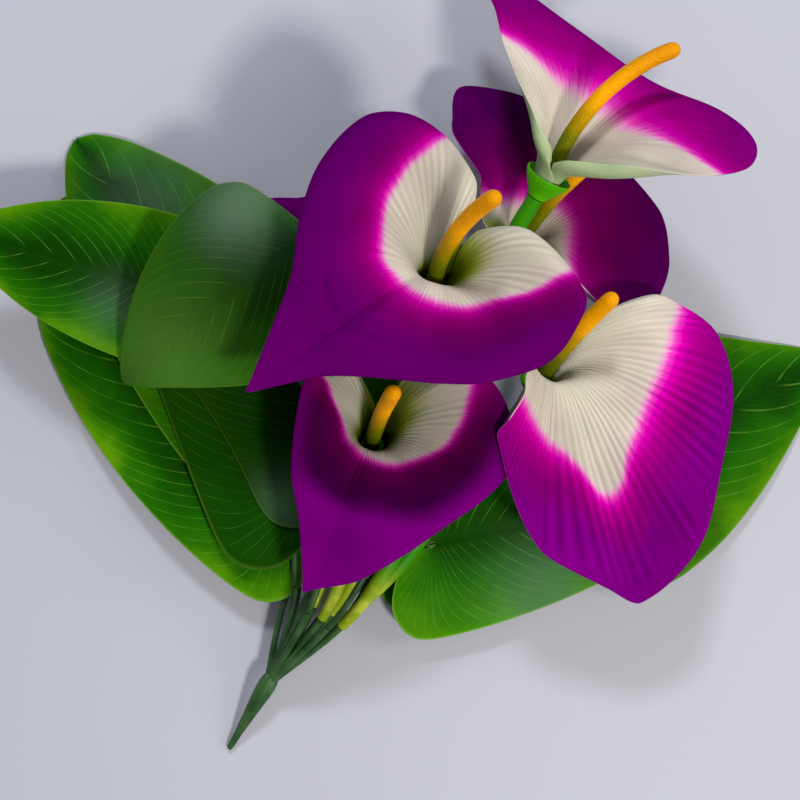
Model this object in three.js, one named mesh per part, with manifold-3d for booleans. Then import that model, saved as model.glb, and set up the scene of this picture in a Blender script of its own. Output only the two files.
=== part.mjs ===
// Artificial calla lily bouquet lying on a flat surface: six flowers and ten leaves on one moulded stem.
// Millimetres and degrees. +Z is up, +Y runs from the stem's end towards the flowers, and the origin is
// under the middle of the bouquet, on the surface.

import * as THREE from 'three';
import { mergeVertices } from 'three/addons/utils/BufferGeometryUtils.js';
import Module from 'manifold-3d';

const wasm = await Module();
wasm.setup();

// Driving dimensions
const fabric = 0.7;           // thickness of the pressed fabric
const gap = 0.3;              // clearance between pieces that touch
const throatRadius = 5;       // radius of a spathe where it enters its cup
const throatFlare = 12;       // angle between a spathe and its axis at the throat
const wrapStep = 0.6;         // how far one edge of the wrap lies inside the other, each way
const cupBelow = 5.8;         // part of the cup's height under the spathe
const neckGap = 0.4;          // between a cup and its sleeve
const neckRun = 3;            // straight end of a sleeve under its cup
const spadixRadius = 3.3;
const sleeveRadius = 3.5;
const pegRadius = 1.6;        // fork peg inside a sleeve
const boreRadius = 2.1;
const pegDepth = 16;
const boreEnd = 1;            // free depth of a sleeve's bore beyond the peg
const boreStart = 2;          // how far the cutting rod of the bore stands out of the sleeve
const petioleRadius = 1.4;
const ribLength = 34;         // stretch of a petiole glued under its leaf
const forkLength = 46;        // from the fork to the lower end of a sleeve or petiole
const lowLip = 3;             // a spathe that rises no further than this before it opens has no fold
const highLip = 15;           // one that rises this far folds over tightly
const foldPull = 8;           // how far a tight fold still rises
const risePull = 0.42;        // pull of the throat and of the rim, in spans of the spathe
const rimPull = 0.38;
const axisReach = 25;         // nearer its axis than this a spathe leaves in its own direction
const trunkTip = new THREE.Vector3(-75, -153, 1.6);
const forkPoint = new THREE.Vector3(-58, -124, 11);

// Turned shapes as rows of radius and height: the trunk, and the outside and inside of a cup from its foot
const trunkProfile = [[0, 0], [1.2, 0], [1.8, 9], [2.5, 18], [3.6, 29], [3.9, 36], [2.5, 41], [0, 42]];
const cupOutside = [[4, 0], [4.6, 1.2], [6.9, 4.4], [8.8, 7.7], [9.8, 10.5]];
const cupInside = [[9.4, 10.5], [8.3, 7.7], [6.3, 5.5]];

// Each flower: where its spathe starts, the way it points (azimuth, elevation, turn), its spadix (length,
// bend, way it bends, lean at its foot), how far below its neck the route of its stem joins the axis, that
// route from the fork, how far the spathe rises before it opens as rows of the angle round the throat and
// the height, and its rim as rows of the angle, the place from the base (x, y, z) and the tilt from the
// outward direction.
const flowers = {
  flower_1: {
    base: [12, 43, 88], axis: [70, 58, 140], spadix: [70, 27, 130, -6], bend: 18,
    stem: [[-31, -89, 33.5], [-18, -60, 38], [2, -32, 39.5], [6, -10, 41], [3, 15, 50]],
    lip: [[-186, 3], [-110, 3], [-50, 6], [0, 13], [35, 16], [70, 15], [115, 8], [150, 3], [186, 3]],
    rim: [
      [-186, 11, 13, 9, 60], [-172, 12, 18, 16, 50], [-138, 17, 37, 22, 10], [-124, 13, 46, 23, 0],
      [-112, 4, 57, 23, -15], [-98, -10, 65, 21, -40], [-84, -26, 64, 19, -50], [-64, -42, 47, 19, -50],
      [-42, -50, 25, 19, -50], [-29, -53, 5, 18, -48], [-16, -59, -11, 16, -45], [-3, -69, -35, 11, -32],
      [0, -71, -40, 10, -30], [3, -65, -39, 11, -35], [14, -41, -34, 14, -55], [70, 13, -37, 18, -65],
      [92, 31, -34, 20, -65], [108, 45, -28, 23, -65], [124, 54, -16, 25, -65], [138, 57, -3, 27, -55],
      [163, 37, 20, 27, 0], [178, 18, 21, 19, 30], [186, 13, 14, 9, 60],
    ],
  },
  flower_2: {
    base: [58, 87, 62], axis: [60, 25, 20], spadix: [79, 46, 270, -12], bend: 18,
    stem: [[-20, -91, 28.5], [1, -60, 34], [20, -28, 35.5], [34, 5, 37.5], [42, 40, 43]],
    lip: [[-186, 3], [186, 3]],
    rim: [
      [-186, 3, 7, 13, 75], [-172, 8, 7, 20, 95], [-155, 20, 5, 26, 105], [-138, 33, 3, 33, 85],
      [-122, 58, -1, 36, 20], [-106, 77, 3, 30, 0], [-90, 81, 14, 22, 0], [-65, 70, 28, 10, 0],
      [-42, 44, 43, -6, 0], [-20, 14, 67, -16, 0], [0, -25, 96, -24, 0], [20, -19, 73, -10, 0],
      [45, -16, 55, 2, 15], [105, -7, 28, 24, 65], [135, -3, 18, 26, 95], [162, 1, 12, 22, 95],
      [186, 2, 8, 14, 80],
    ],
  },
  flower_3: {
    base: [48, 62, 32], axis: [60, 32, 20], spadix: [74, 35, 270, 0], bend: 16,
    stem: [[-31, -90, 16], [-5, -62, 21], [12, -32, 21.5], [25, 5, 20]],
    lip: [[-186, 3], [186, 3]],
    rim: [
      [-186, 4, 4, 10, 60], [-170, 20, -8, 16, 40], [-150, 36, -24, 20, 20], [-130, 50, -31, 22, 0],
      [-110, 59, -17, 24, 0], [-90, 62, -3, 22, 0], [-70, 58, 18, 14, 0], [-28, 24, 56, -2, 0],
      [-10, 1, 68, -6, 0], [0, -22, 71, -6, 0], [14, -26, 56, 4, 0], [38, -25, 46, 14, 20],
      [110, -15, 30, 18, 40], [145, -15, 19, 12, 50], [168, -12, 10, 10, 60], [186, -5, 5, 10, 70],
    ],
  },
  flower_4: {
    base: [57, 7, 48], axis: [60, 52, -126], spadix: [62, 18, 81, 0], bend: 18,
    stem: [[-21, -92, 19.5], [6, -63, 24], [28, -28, 26]],
    lip: [[-186, 3], [-150, 8], [-110, 13], [-60, 13], [0, 10], [50, 7], [110, 3], [186, 3]],
    rim: [
      [-186, -1, 10, 8, 60], [-172, -3, 9, 18, 50], [-152, -7, 3, 26, 20], [-132, -8, -5, 28, 0],
      [-112, -14, -15, 28, -20], [-90, -18, -23, 24, -30], [-32, 0, -68, 8, -20], [-12, 29, -85, 0, -20],
      [0, 43, -91, -4, -20], [30, 65, -67, 8, -20], [58, 73, -34, 14, -20], [88, 77, -3, 17, -20],
      [110, 70, 20, 18, -20], [130, 54, 32, 18, -10], [150, 43, 35, 18, 0], [176, 22, 26, 16, 30],
      [186, 10, 13, 10, 60],
    ],
  },
  flower_5: {
    base: [-12, -19, 42], axis: [75, 66, 169], spadix: [61, 8, 101, 0], bend: 7,
    stem: [[-38, -90, 27], [-27, -60, 31.5], [-18, -36, 32]],
    lip: [[-186, 3], [-110, 4], [-60, 9], [-10, 14], [30, 14], [70, 10], [120, 5], [150, 3], [186, 3]],
    rim: [
      [-186, 3, 9, 7, 60], [-172, 1, 19, 18, 50], [-135, -10, 36, 28, 0], [-115, -21, 34, 28, -20],
      [-95, -27, 25, 28, -40], [-45, -32, -9, 20, -40], [-20, -29, -31, 16, -40], [-3, -28, -56, 7, -31],
      [0, -28, -60, 6, -30], [3, -23, -59, 7, -32], [14, -5, -55, 12, -40], [60, 28, -34, 18, -40],
      [105, 54, -13, 22, -40], [120, 58, 3, 24, -30], [140, 52, 22, 28, -20], [155, 40, 32, 30, 0],
      [178, 13, 27, 20, 40], [186, 6, 11, 8, 60],
    ],
  },
  flower_6: {
    base: [2, 50, 34], axis: [110, 45, 50], spadix: [55, 15, 90, 0], bend: 10,
    stem: [[-29, -91, 24.5], [-11, -60, 30], [5, -30, 31], [12, 0, 30]],
    lip: [[-186, 3], [186, 3]],
    rim: [
      [-186, 2, 5, 10, 60], [-165, 10, 10, 16, 40], [-140, 12, 30, 20, 10], [-115, 10, 47, 16, 0],
      [-90, -8, 54, 10, -10], [-35, -40, 36, 0, -20], [0, -64, 33, -6, -20], [15, -60, 17, 0, -30],
      [40, -50, 0, 8, -30], [70, -35, -11, 16, -30], [135, -5, -8, 22, 10], [165, 3, 4, 19, 40],
      [186, 4, 6, 10, 60],
    ],
  },
};

// Half outline of a leaf: rows of the way round from the notch to the apex, then x in lengths, y in widths
const leafMargin = [
  [0, 0, 0], [0.1, -0.13, 0.22], [0.2, -0.195, 0.6], [0.3, -0.13, 0.93], [0.4, 0.05, 1],
  [0.55, 0.33, 0.93], [0.7, 0.6, 0.74], [0.85, 0.85, 0.42], [0.94, 0.965, 0.18], [1, 1, 0],
];

// The same for a leaf whose lobes are pressed forward
const plainMargin = [
  [0, 0, 0], [0.1, 0.04, 0.25], [0.2, 0.09, 0.55], [0.3, 0.16, 0.86], [0.4, 0.27, 1],
  [0.55, 0.44, 0.9], [0.7, 0.63, 0.66], [0.85, 0.83, 0.34], [0.94, 0.945, 0.14], [1, 1, 0],
];

// Each leaf: where its blade meets the petiole, heading and turn to the left over its length, slope at the
// base and the tip, length and half widths left and right, and the route of its petiole from the fork. Turn,
// lobe (how far the lobes reach back) and curl (how far each half bends down, as base and tip angles) are
// stated where they aren't 0, 1 and 0.
const leaves = {
  leaf_1: {
    base: [-49, -1, 18], heading: 129, slope: [0, -12.5], size: [150, 50, 50],
    stem: [[-46, -88, 15.5], [-46, -45, 16.3]],
  },
  leaf_2: {
    base: [-97, 45, 40], heading: 163.5, slope: [8, -8], size: [90, 32, 32],
    stem: [[-38, -88, 34.5], [-30, -60, 37.5], [-32, -20, 37], [-45, 15, 37], [-70, 38, 37.5]],
  },
  leaf_3: {
    base: [-32, 64, 87], heading: 208, turn: 13, slope: [-6, -44], size: [114, 44, 43],
    curlLeft: [15, 10], curlRight: [45, 20], margin: plainMargin,
    stem: [[-24, -88, 39], [-8, -60, 44], [10, -30, 47], [16, 0, 53], [19, 30, 65], [20, 58, 77], [5, 77, 84]],
  },
  leaf_4: {
    base: [-32, 11, 7], heading: 148, slope: [0, -5], size: [142, 46, 46],
    stem: [[-46, -90, 6], [-38, -40, 5]],
  },
  leaf_5: {
    base: [-48, -43, 13.5], heading: 140.5, slope: [0, -9.2], size: [142, 45, 47],
    stem: [[-51, -90, 10]],
  },
  leaf_6: {
    base: [-33, -35, 21], heading: 110, turn: 38, slope: [1, 3], size: [142, 52, 24], curlLeft: [4, 4],
    stem: [[-41, -88, 17.5]],
  },
  leaf_7: {
    base: [-27, -23, 26], heading: 112, turn: 62, slope: [3, 5], size: [120, 40, 22], curlLeft: [12, 8],
    stem: [[-40, -88, 20.5], [-22, -52, 23.8]],
  },
  leaf_8: {
    base: [10, -63, 15], heading: 14, turn: -14, slope: [-2.5, -2.5], size: [118, 46, 41], lobe: 0.85,
    curlRight: [8, 0],
    stem: [[-23.5, -94, 13.3]],
  },
  leaf_9: {
    base: [54, -37, 9.4], heading: 15, turn: 16, slope: [0, -7], size: [146, 60, 60], margin: plainMargin,
    stem: [[-27.5, -92, 10], [10, -55, 9]],
  },
  leaf_10: {
    base: [12, -49, 6], heading: 2, slope: [-2, -2], size: [125, 44, 44],
    stem: [[-31, -94, 6]],
  },
};

// Facets
const spatheColumns = 24;
const lipShare = 0.15;        // share of a spathe's line that runs up to where it opens
const spatheRows = [0, lipShare, 0.25, 0.38, 0.58, 0.8, 1];
const leafRows = [0.03, 0.1, 0.2, 0.3, 0.4, 0.55, 0.7, 0.85, 0.985];
const leafColumns = [-1, -0.6, -0.25, 0, 0.25, 0.6, 1];
const roundSides = 8;
const petioleSides = 6;
const cupSides = 12;
const trunkSides = 10;
const stalkSteps = 14;        // along a sleeve or a petiole
const boreSteps = 6;
const pegSteps = 8;
const forkSteps = 5;
const spadixJoints = 8;
const bendPower = 1.2;        // a spadix bends more towards its tip

// Veins of a leaf: how their roots crowd towards the base, and how they leave the midrib
const rootPower = 1.8;
const veinPull = 0.35;
const veinLift = 0.1;
const veinBow = 0.55;

// Where a petiole runs along under its leaf, from the blade's base
const ribStops = [-14, 2, ribLength / 2, ribLength];

const finish = {
  spathe: new THREE.MeshStandardMaterial({ name: 'purple_fabric', color: 0x7a0082, roughness: 0.75 }),
  spadix: new THREE.MeshStandardMaterial({ name: 'yellow_plastic', color: 0xcd8a00, roughness: 0.4 }),
  cup: new THREE.MeshStandardMaterial({ name: 'light_green_plastic', color: 0x459903, roughness: 0.4 }),
  sleeve: new THREE.MeshStandardMaterial({ name: 'green_sleeve', color: 0x8aa82a, roughness: 0.45 }),
  leaf: new THREE.MeshStandardMaterial({ name: 'green_fabric', color: 0x2d6a12, roughness: 0.65 }),
  stem: new THREE.MeshStandardMaterial({ name: 'dark_green_plastic', color: 0x304c26, roughness: 0.5 }),
};

const radians = THREE.MathUtils.degToRad;

function heading(azimuth, elevation) {
  const flat = Math.cos(radians(elevation));
  const [x, y] = [Math.cos(radians(azimuth)), Math.sin(radians(azimuth))];
  return new THREE.Vector3(flat * x, flat * y, Math.sin(radians(elevation)));
}

function vectors(points) {
  return points.map((point) => new THREE.Vector3(...point));
}

// Smooth values between keyed rows: the first number of a row is its key
function smooth(rows, key) {
  const last = rows.length - 1;
  let i = 0;
  while (i < last - 1 && key > rows[i + 1][0]) i += 1;
  const slope = (k, column) => {
    const [before, after] = [rows[Math.max(k - 1, 0)], rows[Math.min(k + 1, last)]];
    return (after[column] - before[column]) / (after[0] - before[0]);
  };
  const span = rows[i + 1][0] - rows[i][0];
  const t = THREE.MathUtils.clamp((key - rows[i][0]) / span, 0, 1);
  return rows[i].slice(1).map((value, index) => {
    const column = index + 1;
    const [rise, next] = [slope(i, column) * span, slope(i + 1, column) * span];
    const change = rows[i + 1][column] - value;
    return value + rise * t + (3 * change - 2 * rise - next) * t ** 2 + (rise + next - 2 * change) * t ** 3;
  });
}

// Closed sheet of the fabric's thickness through a grid of points, half of it on each side
function sheet(grid) {
  const [columns, rows] = [grid.length, grid[0].length];
  const positions = [];
  const at = (i, j) => grid[THREE.MathUtils.clamp(i, 0, columns - 1)][THREE.MathUtils.clamp(j, 0, rows - 1)];
  for (const side of [0.5, -0.5]) {
    for (let i = 0; i < columns; i += 1) {
      for (let j = 0; j < rows; j += 1) {
        const across = at(i + 1, j).clone().sub(at(i - 1, j));
        const along = at(i, j + 1).clone().sub(at(i, j - 1));
        const normal = across.cross(along).normalize();
        positions.push(...at(i, j).clone().addScaledVector(normal, side * fabric).toArray());
      }
    }
  }
  const back = columns * rows;
  const index = [];
  const quad = (a, b, c, d) => index.push(a, b, c, a, c, d);
  for (let i = 0; i < columns - 1; i += 1) {
    for (let j = 0; j < rows - 1; j += 1) {
      const [a, b, c, d] = [i * rows + j, (i + 1) * rows + j, (i + 1) * rows + j + 1, i * rows + j + 1];
      quad(a, b, c, d);
      quad(back + d, back + c, back + b, back + a);
    }
  }
  const edge = (a, b) => quad(a, back + a, back + b, b);
  for (let i = 0; i < columns - 1; i += 1) {
    edge(i * rows, (i + 1) * rows);
    edge((i + 2) * rows - 1, (i + 1) * rows - 1);
  }
  for (let j = 0; j < rows - 1; j += 1) {
    edge(j + 1, j);
    edge((columns - 1) * rows + j, (columns - 1) * rows + j + 1);
  }
  const geometry = new THREE.BufferGeometry();
  geometry.setAttribute('position', new THREE.Float32BufferAttribute(positions, 3));
  geometry.setIndex(index);
  return geometry;
}

// Rod along a stretch of a route, between two distances from its start
function rod(route, from, to, radius, sides, steps) {
  const length = route.getLength();
  const places = [];
  for (let i = 0; i <= steps; i += 1) {
    places.push(route.getPointAt(THREE.MathUtils.clamp((from + (to - from) * i / steps) / length, 0, 1)));
  }
  const section = [];
  for (let i = 0; i < sides; i += 1) {
    const turn = 2 * Math.PI * i / sides;
    section.push(new THREE.Vector2(radius * Math.cos(turn), radius * Math.sin(turn)));
  }
  return new THREE.ExtrudeGeometry(new THREE.Shape(section), {
    steps, bevelEnabled: false, extrudePath: new THREE.CatmullRomCurve3(places),
  });
}

// Turned shape from rows of radius and height, with its axis along a direction from a point
function turned(profile, point, direction, segments) {
  const outline = profile.map(([radius, height]) => new THREE.Vector2(radius, height));
  const geometry = new THREE.LatheGeometry(outline, segments);
  geometry.applyQuaternion(new THREE.Quaternion().setFromUnitVectors(new THREE.Vector3(0, 1, 0), direction));
  return geometry.translate(...point.toArray());
}

function solid(geometry) {
  const bare = geometry.clone();
  bare.deleteAttribute('normal');
  bare.deleteAttribute('uv');
  const merged = mergeVertices(bare, 1e-4);
  const corners = [];
  const source = merged.index.array;
  for (let i = 0; i < source.length; i += 3) {
    const [a, b, c] = source.slice(i, i + 3);
    if (a !== b && b !== c && c !== a) corners.push(a, b, c);
  }
  return new wasm.Manifold(new wasm.Mesh({
    numProp: 3,
    vertProperties: new Float32Array(merged.attributes.position.array),
    triVerts: new Uint32Array(corners),
  }));
}

function fromSolid(body) {
  const mesh = body.getMesh();
  const geometry = new THREE.BufferGeometry();
  geometry.setAttribute('position', new THREE.BufferAttribute(mesh.vertProperties, 3));
  geometry.setIndex(new THREE.BufferAttribute(mesh.triVerts, 1));
  return geometry;
}

function piece(name, geometry, material) {
  const mesh = new THREE.Mesh(geometry, material.clone());
  mesh.name = name;
  return mesh;
}

// Axes of a flower: w along its axis, u and v across it, with the spathe's point towards u
function flowerAxes(flower) {
  const [azimuth, elevation, turn] = flower.axis;
  const w = heading(azimuth, elevation);
  const side = heading(azimuth + 90, 0);
  const up = w.clone().cross(side);
  const u = side.clone().multiplyScalar(Math.sin(radians(turn)));
  u.addScaledVector(up, -Math.cos(radians(turn)));
  return { u, v: w.clone().cross(u), w };
}

// Line of the spathe at an angle round the throat: straight up from its foot in the cup, then over to the rim
function spatheLine(flower, axes, angle) {
  const [x, y, z, tilt] = smooth(flower.rim, angle);
  const [height] = smooth(flower.lip, angle);
  const around = axes.u.clone().multiplyScalar(Math.cos(radians(angle)));
  around.addScaledVector(axes.v, Math.sin(radians(angle)));
  const foot = around.clone().multiplyScalar(throatRadius + wrapStep * angle / 180);
  const rise = axes.w.clone().multiplyScalar(Math.cos(radians(throatFlare)));
  rise.addScaledVector(around, Math.sin(radians(throatFlare)));
  const lip = foot.clone().addScaledVector(rise, height);
  const rim = new THREE.Vector3(x, y, z);
  const radial = rim.clone().addScaledVector(axes.w, -rim.dot(axes.w));
  const share = Math.min(radial.length() / axisReach, 1);
  const outward = around.clone().multiplyScalar(1 - share).addScaledVector(radial.normalize(), share);
  outward.normalize();
  const span = rim.distanceTo(lip);
  const arrive = outward.multiplyScalar(Math.cos(radians(tilt)));
  arrive.addScaledVector(axes.w, Math.sin(radians(tilt)));
  const folded = THREE.MathUtils.clamp((height - lowLip) / (highLip - lowLip), 0, 1);
  const leave = lip.clone().addScaledVector(rise, THREE.MathUtils.lerp(risePull * span, foldPull, folded));
  const over = new THREE.CubicBezierCurve3(lip, leave, rim.clone().addScaledVector(arrive, -rimPull * span), rim);
  return (s) => {
    if (s < lipShare) return foot.clone().lerp(lip, s / lipShare);
    return over.getPoint((s - lipShare) / (1 - lipShare));
  };
}

function spathe(flower, axes) {
  const ends = [flower.rim[0][0], flower.rim[flower.rim.length - 1][0]];
  const grid = [];
  for (let i = 0; i <= spatheColumns; i += 1) {
    const line = spatheLine(flower, axes, THREE.MathUtils.lerp(...ends, i / spatheColumns));
    grid.push(spatheRows.map(line));
  }
  return sheet(grid);
}

function spadix(flower, axes) {
  const [length, bend, way, foot] = flower.spadix;
  const lean = axes.u.clone().multiplyScalar(Math.cos(radians(way)));
  lean.addScaledVector(axes.v, Math.sin(radians(way)));
  const step = length / spadixJoints;
  const places = [new THREE.Vector3()];
  for (let i = 0; i < spadixJoints; i += 1) {
    const share = (i + 0.5) / spadixJoints;
    const angle = i > 0 ? radians(foot + (bend - foot) * share ** bendPower) : 0;
    const next = places[i].clone().addScaledVector(axes.w, step * Math.cos(angle));
    places.push(next.addScaledVector(lean, step * Math.sin(angle)));
  }
  const route = new THREE.CatmullRomCurve3(places);
  return rod(route, 0, route.getLength(), spadixRadius, roundSides, spadixJoints);
}

function cup(axes) {
  const profile = [[0, 0], ...cupOutside, ...cupInside, [0, cupBelow - gap]];
  return turned(profile, axes.w.clone().multiplyScalar(-cupBelow), axes.w, cupSides);
}

// Route from the fork to the neck of a flower's cup
function flowerRoute(flower, axes) {
  const neck = new THREE.Vector3(...flower.base).addScaledVector(axes.w, -cupBelow - neckGap);
  const below = [flower.bend, neckRun].map((distance) => neck.clone().addScaledVector(axes.w, -distance));
  return new THREE.CatmullRomCurve3([forkPoint, ...vectors(flower.stem), ...below, neck]);
}

function sleeve(route) {
  const outer = rod(route, forkLength, route.getLength(), sleeveRadius, roundSides, stalkSteps);
  const boreStop = forkLength + pegDepth + boreEnd;
  const bore = rod(route, forkLength - boreStart, boreStop, boreRadius, roundSides, boreSteps);
  return fromSolid(solid(outer).subtract(solid(bore)));
}

// Midrib of a leaf as a place and three directions at a distance from the blade's base
function midrib(leaf) {
  const [length] = leaf.size;
  const step = 2;
  const along = (x) => {
    const t = THREE.MathUtils.clamp(x / length, 0, 1);
    const azimuth = leaf.heading + (leaf.turn ?? 0) * t;
    return { azimuth, forward: heading(azimuth, THREE.MathUtils.lerp(...leaf.slope, t)) };
  };
  return (x) => {
    const place = new THREE.Vector3();
    const count = Math.max(1, Math.ceil(Math.abs(x) / step));
    for (let i = 0; i < count; i += 1) {
      place.addScaledVector(along(x * (i + 0.5) / count).forward, x / count);
    }
    const { azimuth, forward } = along(x);
    const left = heading(azimuth + 90, 0);
    return { place, forward, left, up: forward.clone().cross(left) };
  };
}

function leafPoint(leaf, rib, q, v) {
  const [length, leftWidth, rightWidth] = leaf.size;
  const [marginX, marginY] = smooth(leaf.margin ?? leafMargin, q);
  const endX = length * marginX * (marginX < 0 ? leaf.lobe ?? 1 : 1);
  const rootX = length * q ** rootPower;
  const turnX = rootX + veinPull * (endX - rootX) + veinLift * length * (1 - q);
  const side = Math.abs(v);
  const x = (1 - side) ** 2 * rootX + 2 * (1 - side) * side * turnX + side ** 2 * endX;
  const y = marginY * (2 * (1 - side) * side * veinBow + side ** 2);
  const width = v > 0 ? leftWidth : rightWidth;
  const t = THREE.MathUtils.clamp(x / length, 0, 1);
  const curl = (v > 0 ? leaf.curlLeft : leaf.curlRight) ?? [0, 0];
  const bend = radians(THREE.MathUtils.lerp(...curl, t)) + 1e-6;
  const { place, left, up } = rib(x);
  place.addScaledVector(left, Math.sign(v) * width * Math.sin(bend * y) / bend);
  return place.addScaledVector(up, -width * (1 - Math.cos(bend * y)) / bend);
}

function blade(leaf) {
  const rib = midrib(leaf);
  return sheet(leafRows.map((q) => leafColumns.map((v) => leafPoint(leaf, rib, q, v))));
}

// Route from the fork to the underside of a leaf, then along its midrib
function leafRoute(leaf) {
  const rib = midrib(leaf);
  const drop = fabric / 2 + gap + petioleRadius;
  const under = ribStops.map((x) => {
    const { place, up } = rib(x);
    return place.add(new THREE.Vector3(...leaf.base)).addScaledVector(up, -drop);
  });
  return new THREE.CatmullRomCurve3([forkPoint, ...vectors(leaf.stem), ...under]);
}

const bouquet = new THREE.Group();
const pegs = [];

for (const [name, flower] of Object.entries(flowers)) {
  const axes = flowerAxes(flower);
  const route = flowerRoute(flower, axes);
  const head = new THREE.Group();
  head.position.set(...flower.base);
  head.add(piece(`${name}_spathe`, spathe(flower, axes), finish.spathe));
  head.add(piece(`${name}_spadix`, spadix(flower, axes), finish.spadix));
  head.add(piece(`${name}_cup`, cup(axes), finish.cup));
  bouquet.add(head, piece(`${name}_sleeve`, sleeve(route), finish.sleeve));
  pegs.push(rod(route, 0, forkLength + pegDepth, pegRadius, petioleSides, pegSteps));
}

for (const [name, leaf] of Object.entries(leaves)) {
  const route = leafRoute(leaf);
  const leafMesh = piece(`${name}_blade`, blade(leaf), finish.leaf);
  leafMesh.position.set(...leaf.base);
  const stalk = rod(route, forkLength, route.getLength(), petioleRadius, petioleSides, stalkSteps);
  bouquet.add(leafMesh, piece(`${name}_petiole`, stalk, finish.stem));
  pegs.push(rod(route, 0, forkLength - gap, petioleRadius, petioleSides, forkSteps));
}

const trunkAxis = forkPoint.clone().sub(trunkTip).normalize();
let trunk = solid(turned(trunkProfile, trunkTip, trunkAxis, trunkSides));
for (const peg of pegs) trunk = trunk.add(solid(peg));
bouquet.add(piece('stem_trunk', fromSolid(trunk), finish.stem));

// The origin goes to the middle of the bouquet, on the surface it lies on
const extent = new THREE.Box3().setFromObject(bouquet, true);
const middle = extent.getCenter(new THREE.Vector3());
bouquet.position.set(-Math.round(middle.x), -Math.round(middle.y), -extent.min.z);

export default bouquet;
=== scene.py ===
# Artificial calla lily bouquet lying on a pale surface: six two-tone fabric flowers and ten satin leaves
# on one moulded stem. Shapes are worked out in millimetres and turned into metres as each piece is
# finished.

from math import acos, atan2, cos, exp, pi, radians, sin

import bmesh
import bpy
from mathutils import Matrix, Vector, noise


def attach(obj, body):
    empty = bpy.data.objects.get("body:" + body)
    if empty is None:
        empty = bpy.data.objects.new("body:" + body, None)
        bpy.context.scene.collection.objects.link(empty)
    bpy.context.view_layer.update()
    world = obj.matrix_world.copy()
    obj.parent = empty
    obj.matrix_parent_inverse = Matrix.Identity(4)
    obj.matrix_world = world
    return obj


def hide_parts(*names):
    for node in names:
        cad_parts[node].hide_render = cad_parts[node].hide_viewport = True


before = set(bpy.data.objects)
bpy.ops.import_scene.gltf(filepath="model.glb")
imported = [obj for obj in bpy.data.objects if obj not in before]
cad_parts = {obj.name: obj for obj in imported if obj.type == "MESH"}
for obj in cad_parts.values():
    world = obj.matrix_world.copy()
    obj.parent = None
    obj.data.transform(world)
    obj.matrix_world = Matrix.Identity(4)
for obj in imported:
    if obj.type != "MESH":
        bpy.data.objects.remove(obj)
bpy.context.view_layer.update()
print("frame loaded:", len(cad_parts), "nodes")

# From the millimetres that the pieces are drawn in to the frame's own origin
placeShift = Vector((-2.0, -15.0, -0.377))


def toScene(point):
    return (point + placeShift) / 1000


# From a picture's level, 0 to 255, to linear light
def toLinear(level):
    share = level / 255
    return share / 12.92 if share <= 0.04045 else ((share + 0.055) / 1.055) ** 2.4


def paint(red, green, blue):
    return (toLinear(red), toLinear(green), toLinear(blue), 1.0)


def clamp(value, low=0.0, high=1.0):
    return max(low, min(high, value))


def blendIn(value, low, high):
    share = clamp((value - low) / (high - low))
    return share * share * (3 - 2 * share)


def lerp(low, high, share):
    return low + (high - low) * share


def heading(azimuth, elevation):
    flat = cos(radians(elevation))
    return Vector((flat * cos(radians(azimuth)), flat * sin(radians(azimuth)), sin(radians(elevation))))


# A smooth change from a start, with the slopes at which it leaves and arrives
def easeOver(start, change, leave, arrive, t):
    bend = (3 * change - 2 * leave - arrive) * t ** 2
    return start + leave * t + bend + (leave + arrive - 2 * change) * t ** 3


# Smooth values between keyed rows: the first number of a row is its key
def smooth(rows, key):
    last = len(rows) - 1
    i = 0
    while i < last - 1 and key > rows[i + 1][0]:
        i += 1

    def slope(k, column):
        before, after = rows[max(k - 1, 0)], rows[min(k + 1, last)]
        return (after[column] - before[column]) / (after[0] - before[0])

    span = rows[i + 1][0] - rows[i][0]
    t = clamp((key - rows[i][0]) / span)
    values = []
    for column in range(1, len(rows[i])):
        start = rows[i][column]
        leave, arrive = slope(i, column) * span, slope(i + 1, column) * span
        values.append(easeOver(start, rows[i + 1][column] - start, leave, arrive, t))
    return values


# Camera, floor and lights

view = {
    "height": 760,          # camera above the surface
    "width": 352,           # surface seen across the picture
    "sensor": 36,
    "floorSize": 12000,
    "floorColour": (173, 175, 183),
    "skyColour": (222, 226, 236),
    "skyStrength": 0.42,
}

lamps = {
    "keyLamp": {
        "way": (0.5, -0.55, 1.25), "distance": 1800, "size": 260, "power": 21, "colour": (255, 250, 242),
    },
    "backLamp": {
        "way": (-0.05, 0.9, 0.95), "distance": 1900, "size": 320, "power": 19, "colour": (246, 247, 255),
    },
    "sideLamp": {
        "way": (1.0, 0.1, 0.7), "distance": 1500, "size": 500, "power": 6, "colour": (255, 250, 244),
    },
}


def makeCamera():
    data = bpy.data.cameras.new("camera")
    data.sensor_width = view["sensor"]
    data.lens = view["sensor"] * view["height"] / view["width"]
    camera = bpy.data.objects.new("camera", data)
    camera.location = toScene(Vector((0, 0, view["height"])))
    bpy.context.scene.collection.objects.link(camera)
    bpy.context.scene.camera = camera


def makeLamps():
    for name, lamp in lamps.items():
        data = bpy.data.lights.new(name, "AREA")
        data.shape = "DISK"
        data.size = lamp["size"] / 1000
        data.energy = lamp["power"]
        data.color = paint(*lamp["colour"])[:3]
        way = Vector(lamp["way"]).normalized()
        thing = bpy.data.objects.new(name, data)
        thing.location = way * lamp["distance"] / 1000
        thing.rotation_euler = way.to_track_quat("Z", "Y").to_euler()
        bpy.context.scene.collection.objects.link(thing)
    world = bpy.data.worlds.new("studio")
    world.use_nodes = True
    backdrop = world.node_tree.nodes["Background"]
    backdrop.inputs["Color"].default_value = paint(*view["skyColour"])
    backdrop.inputs["Strength"].default_value = view["skyStrength"]
    bpy.context.scene.world = world
    bpy.context.scene.view_settings.view_transform = "Standard"


# Shader helpers: values and links for sockets, a node, a sum, a ramp, a mix of colours, a noise and a
# group

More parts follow.
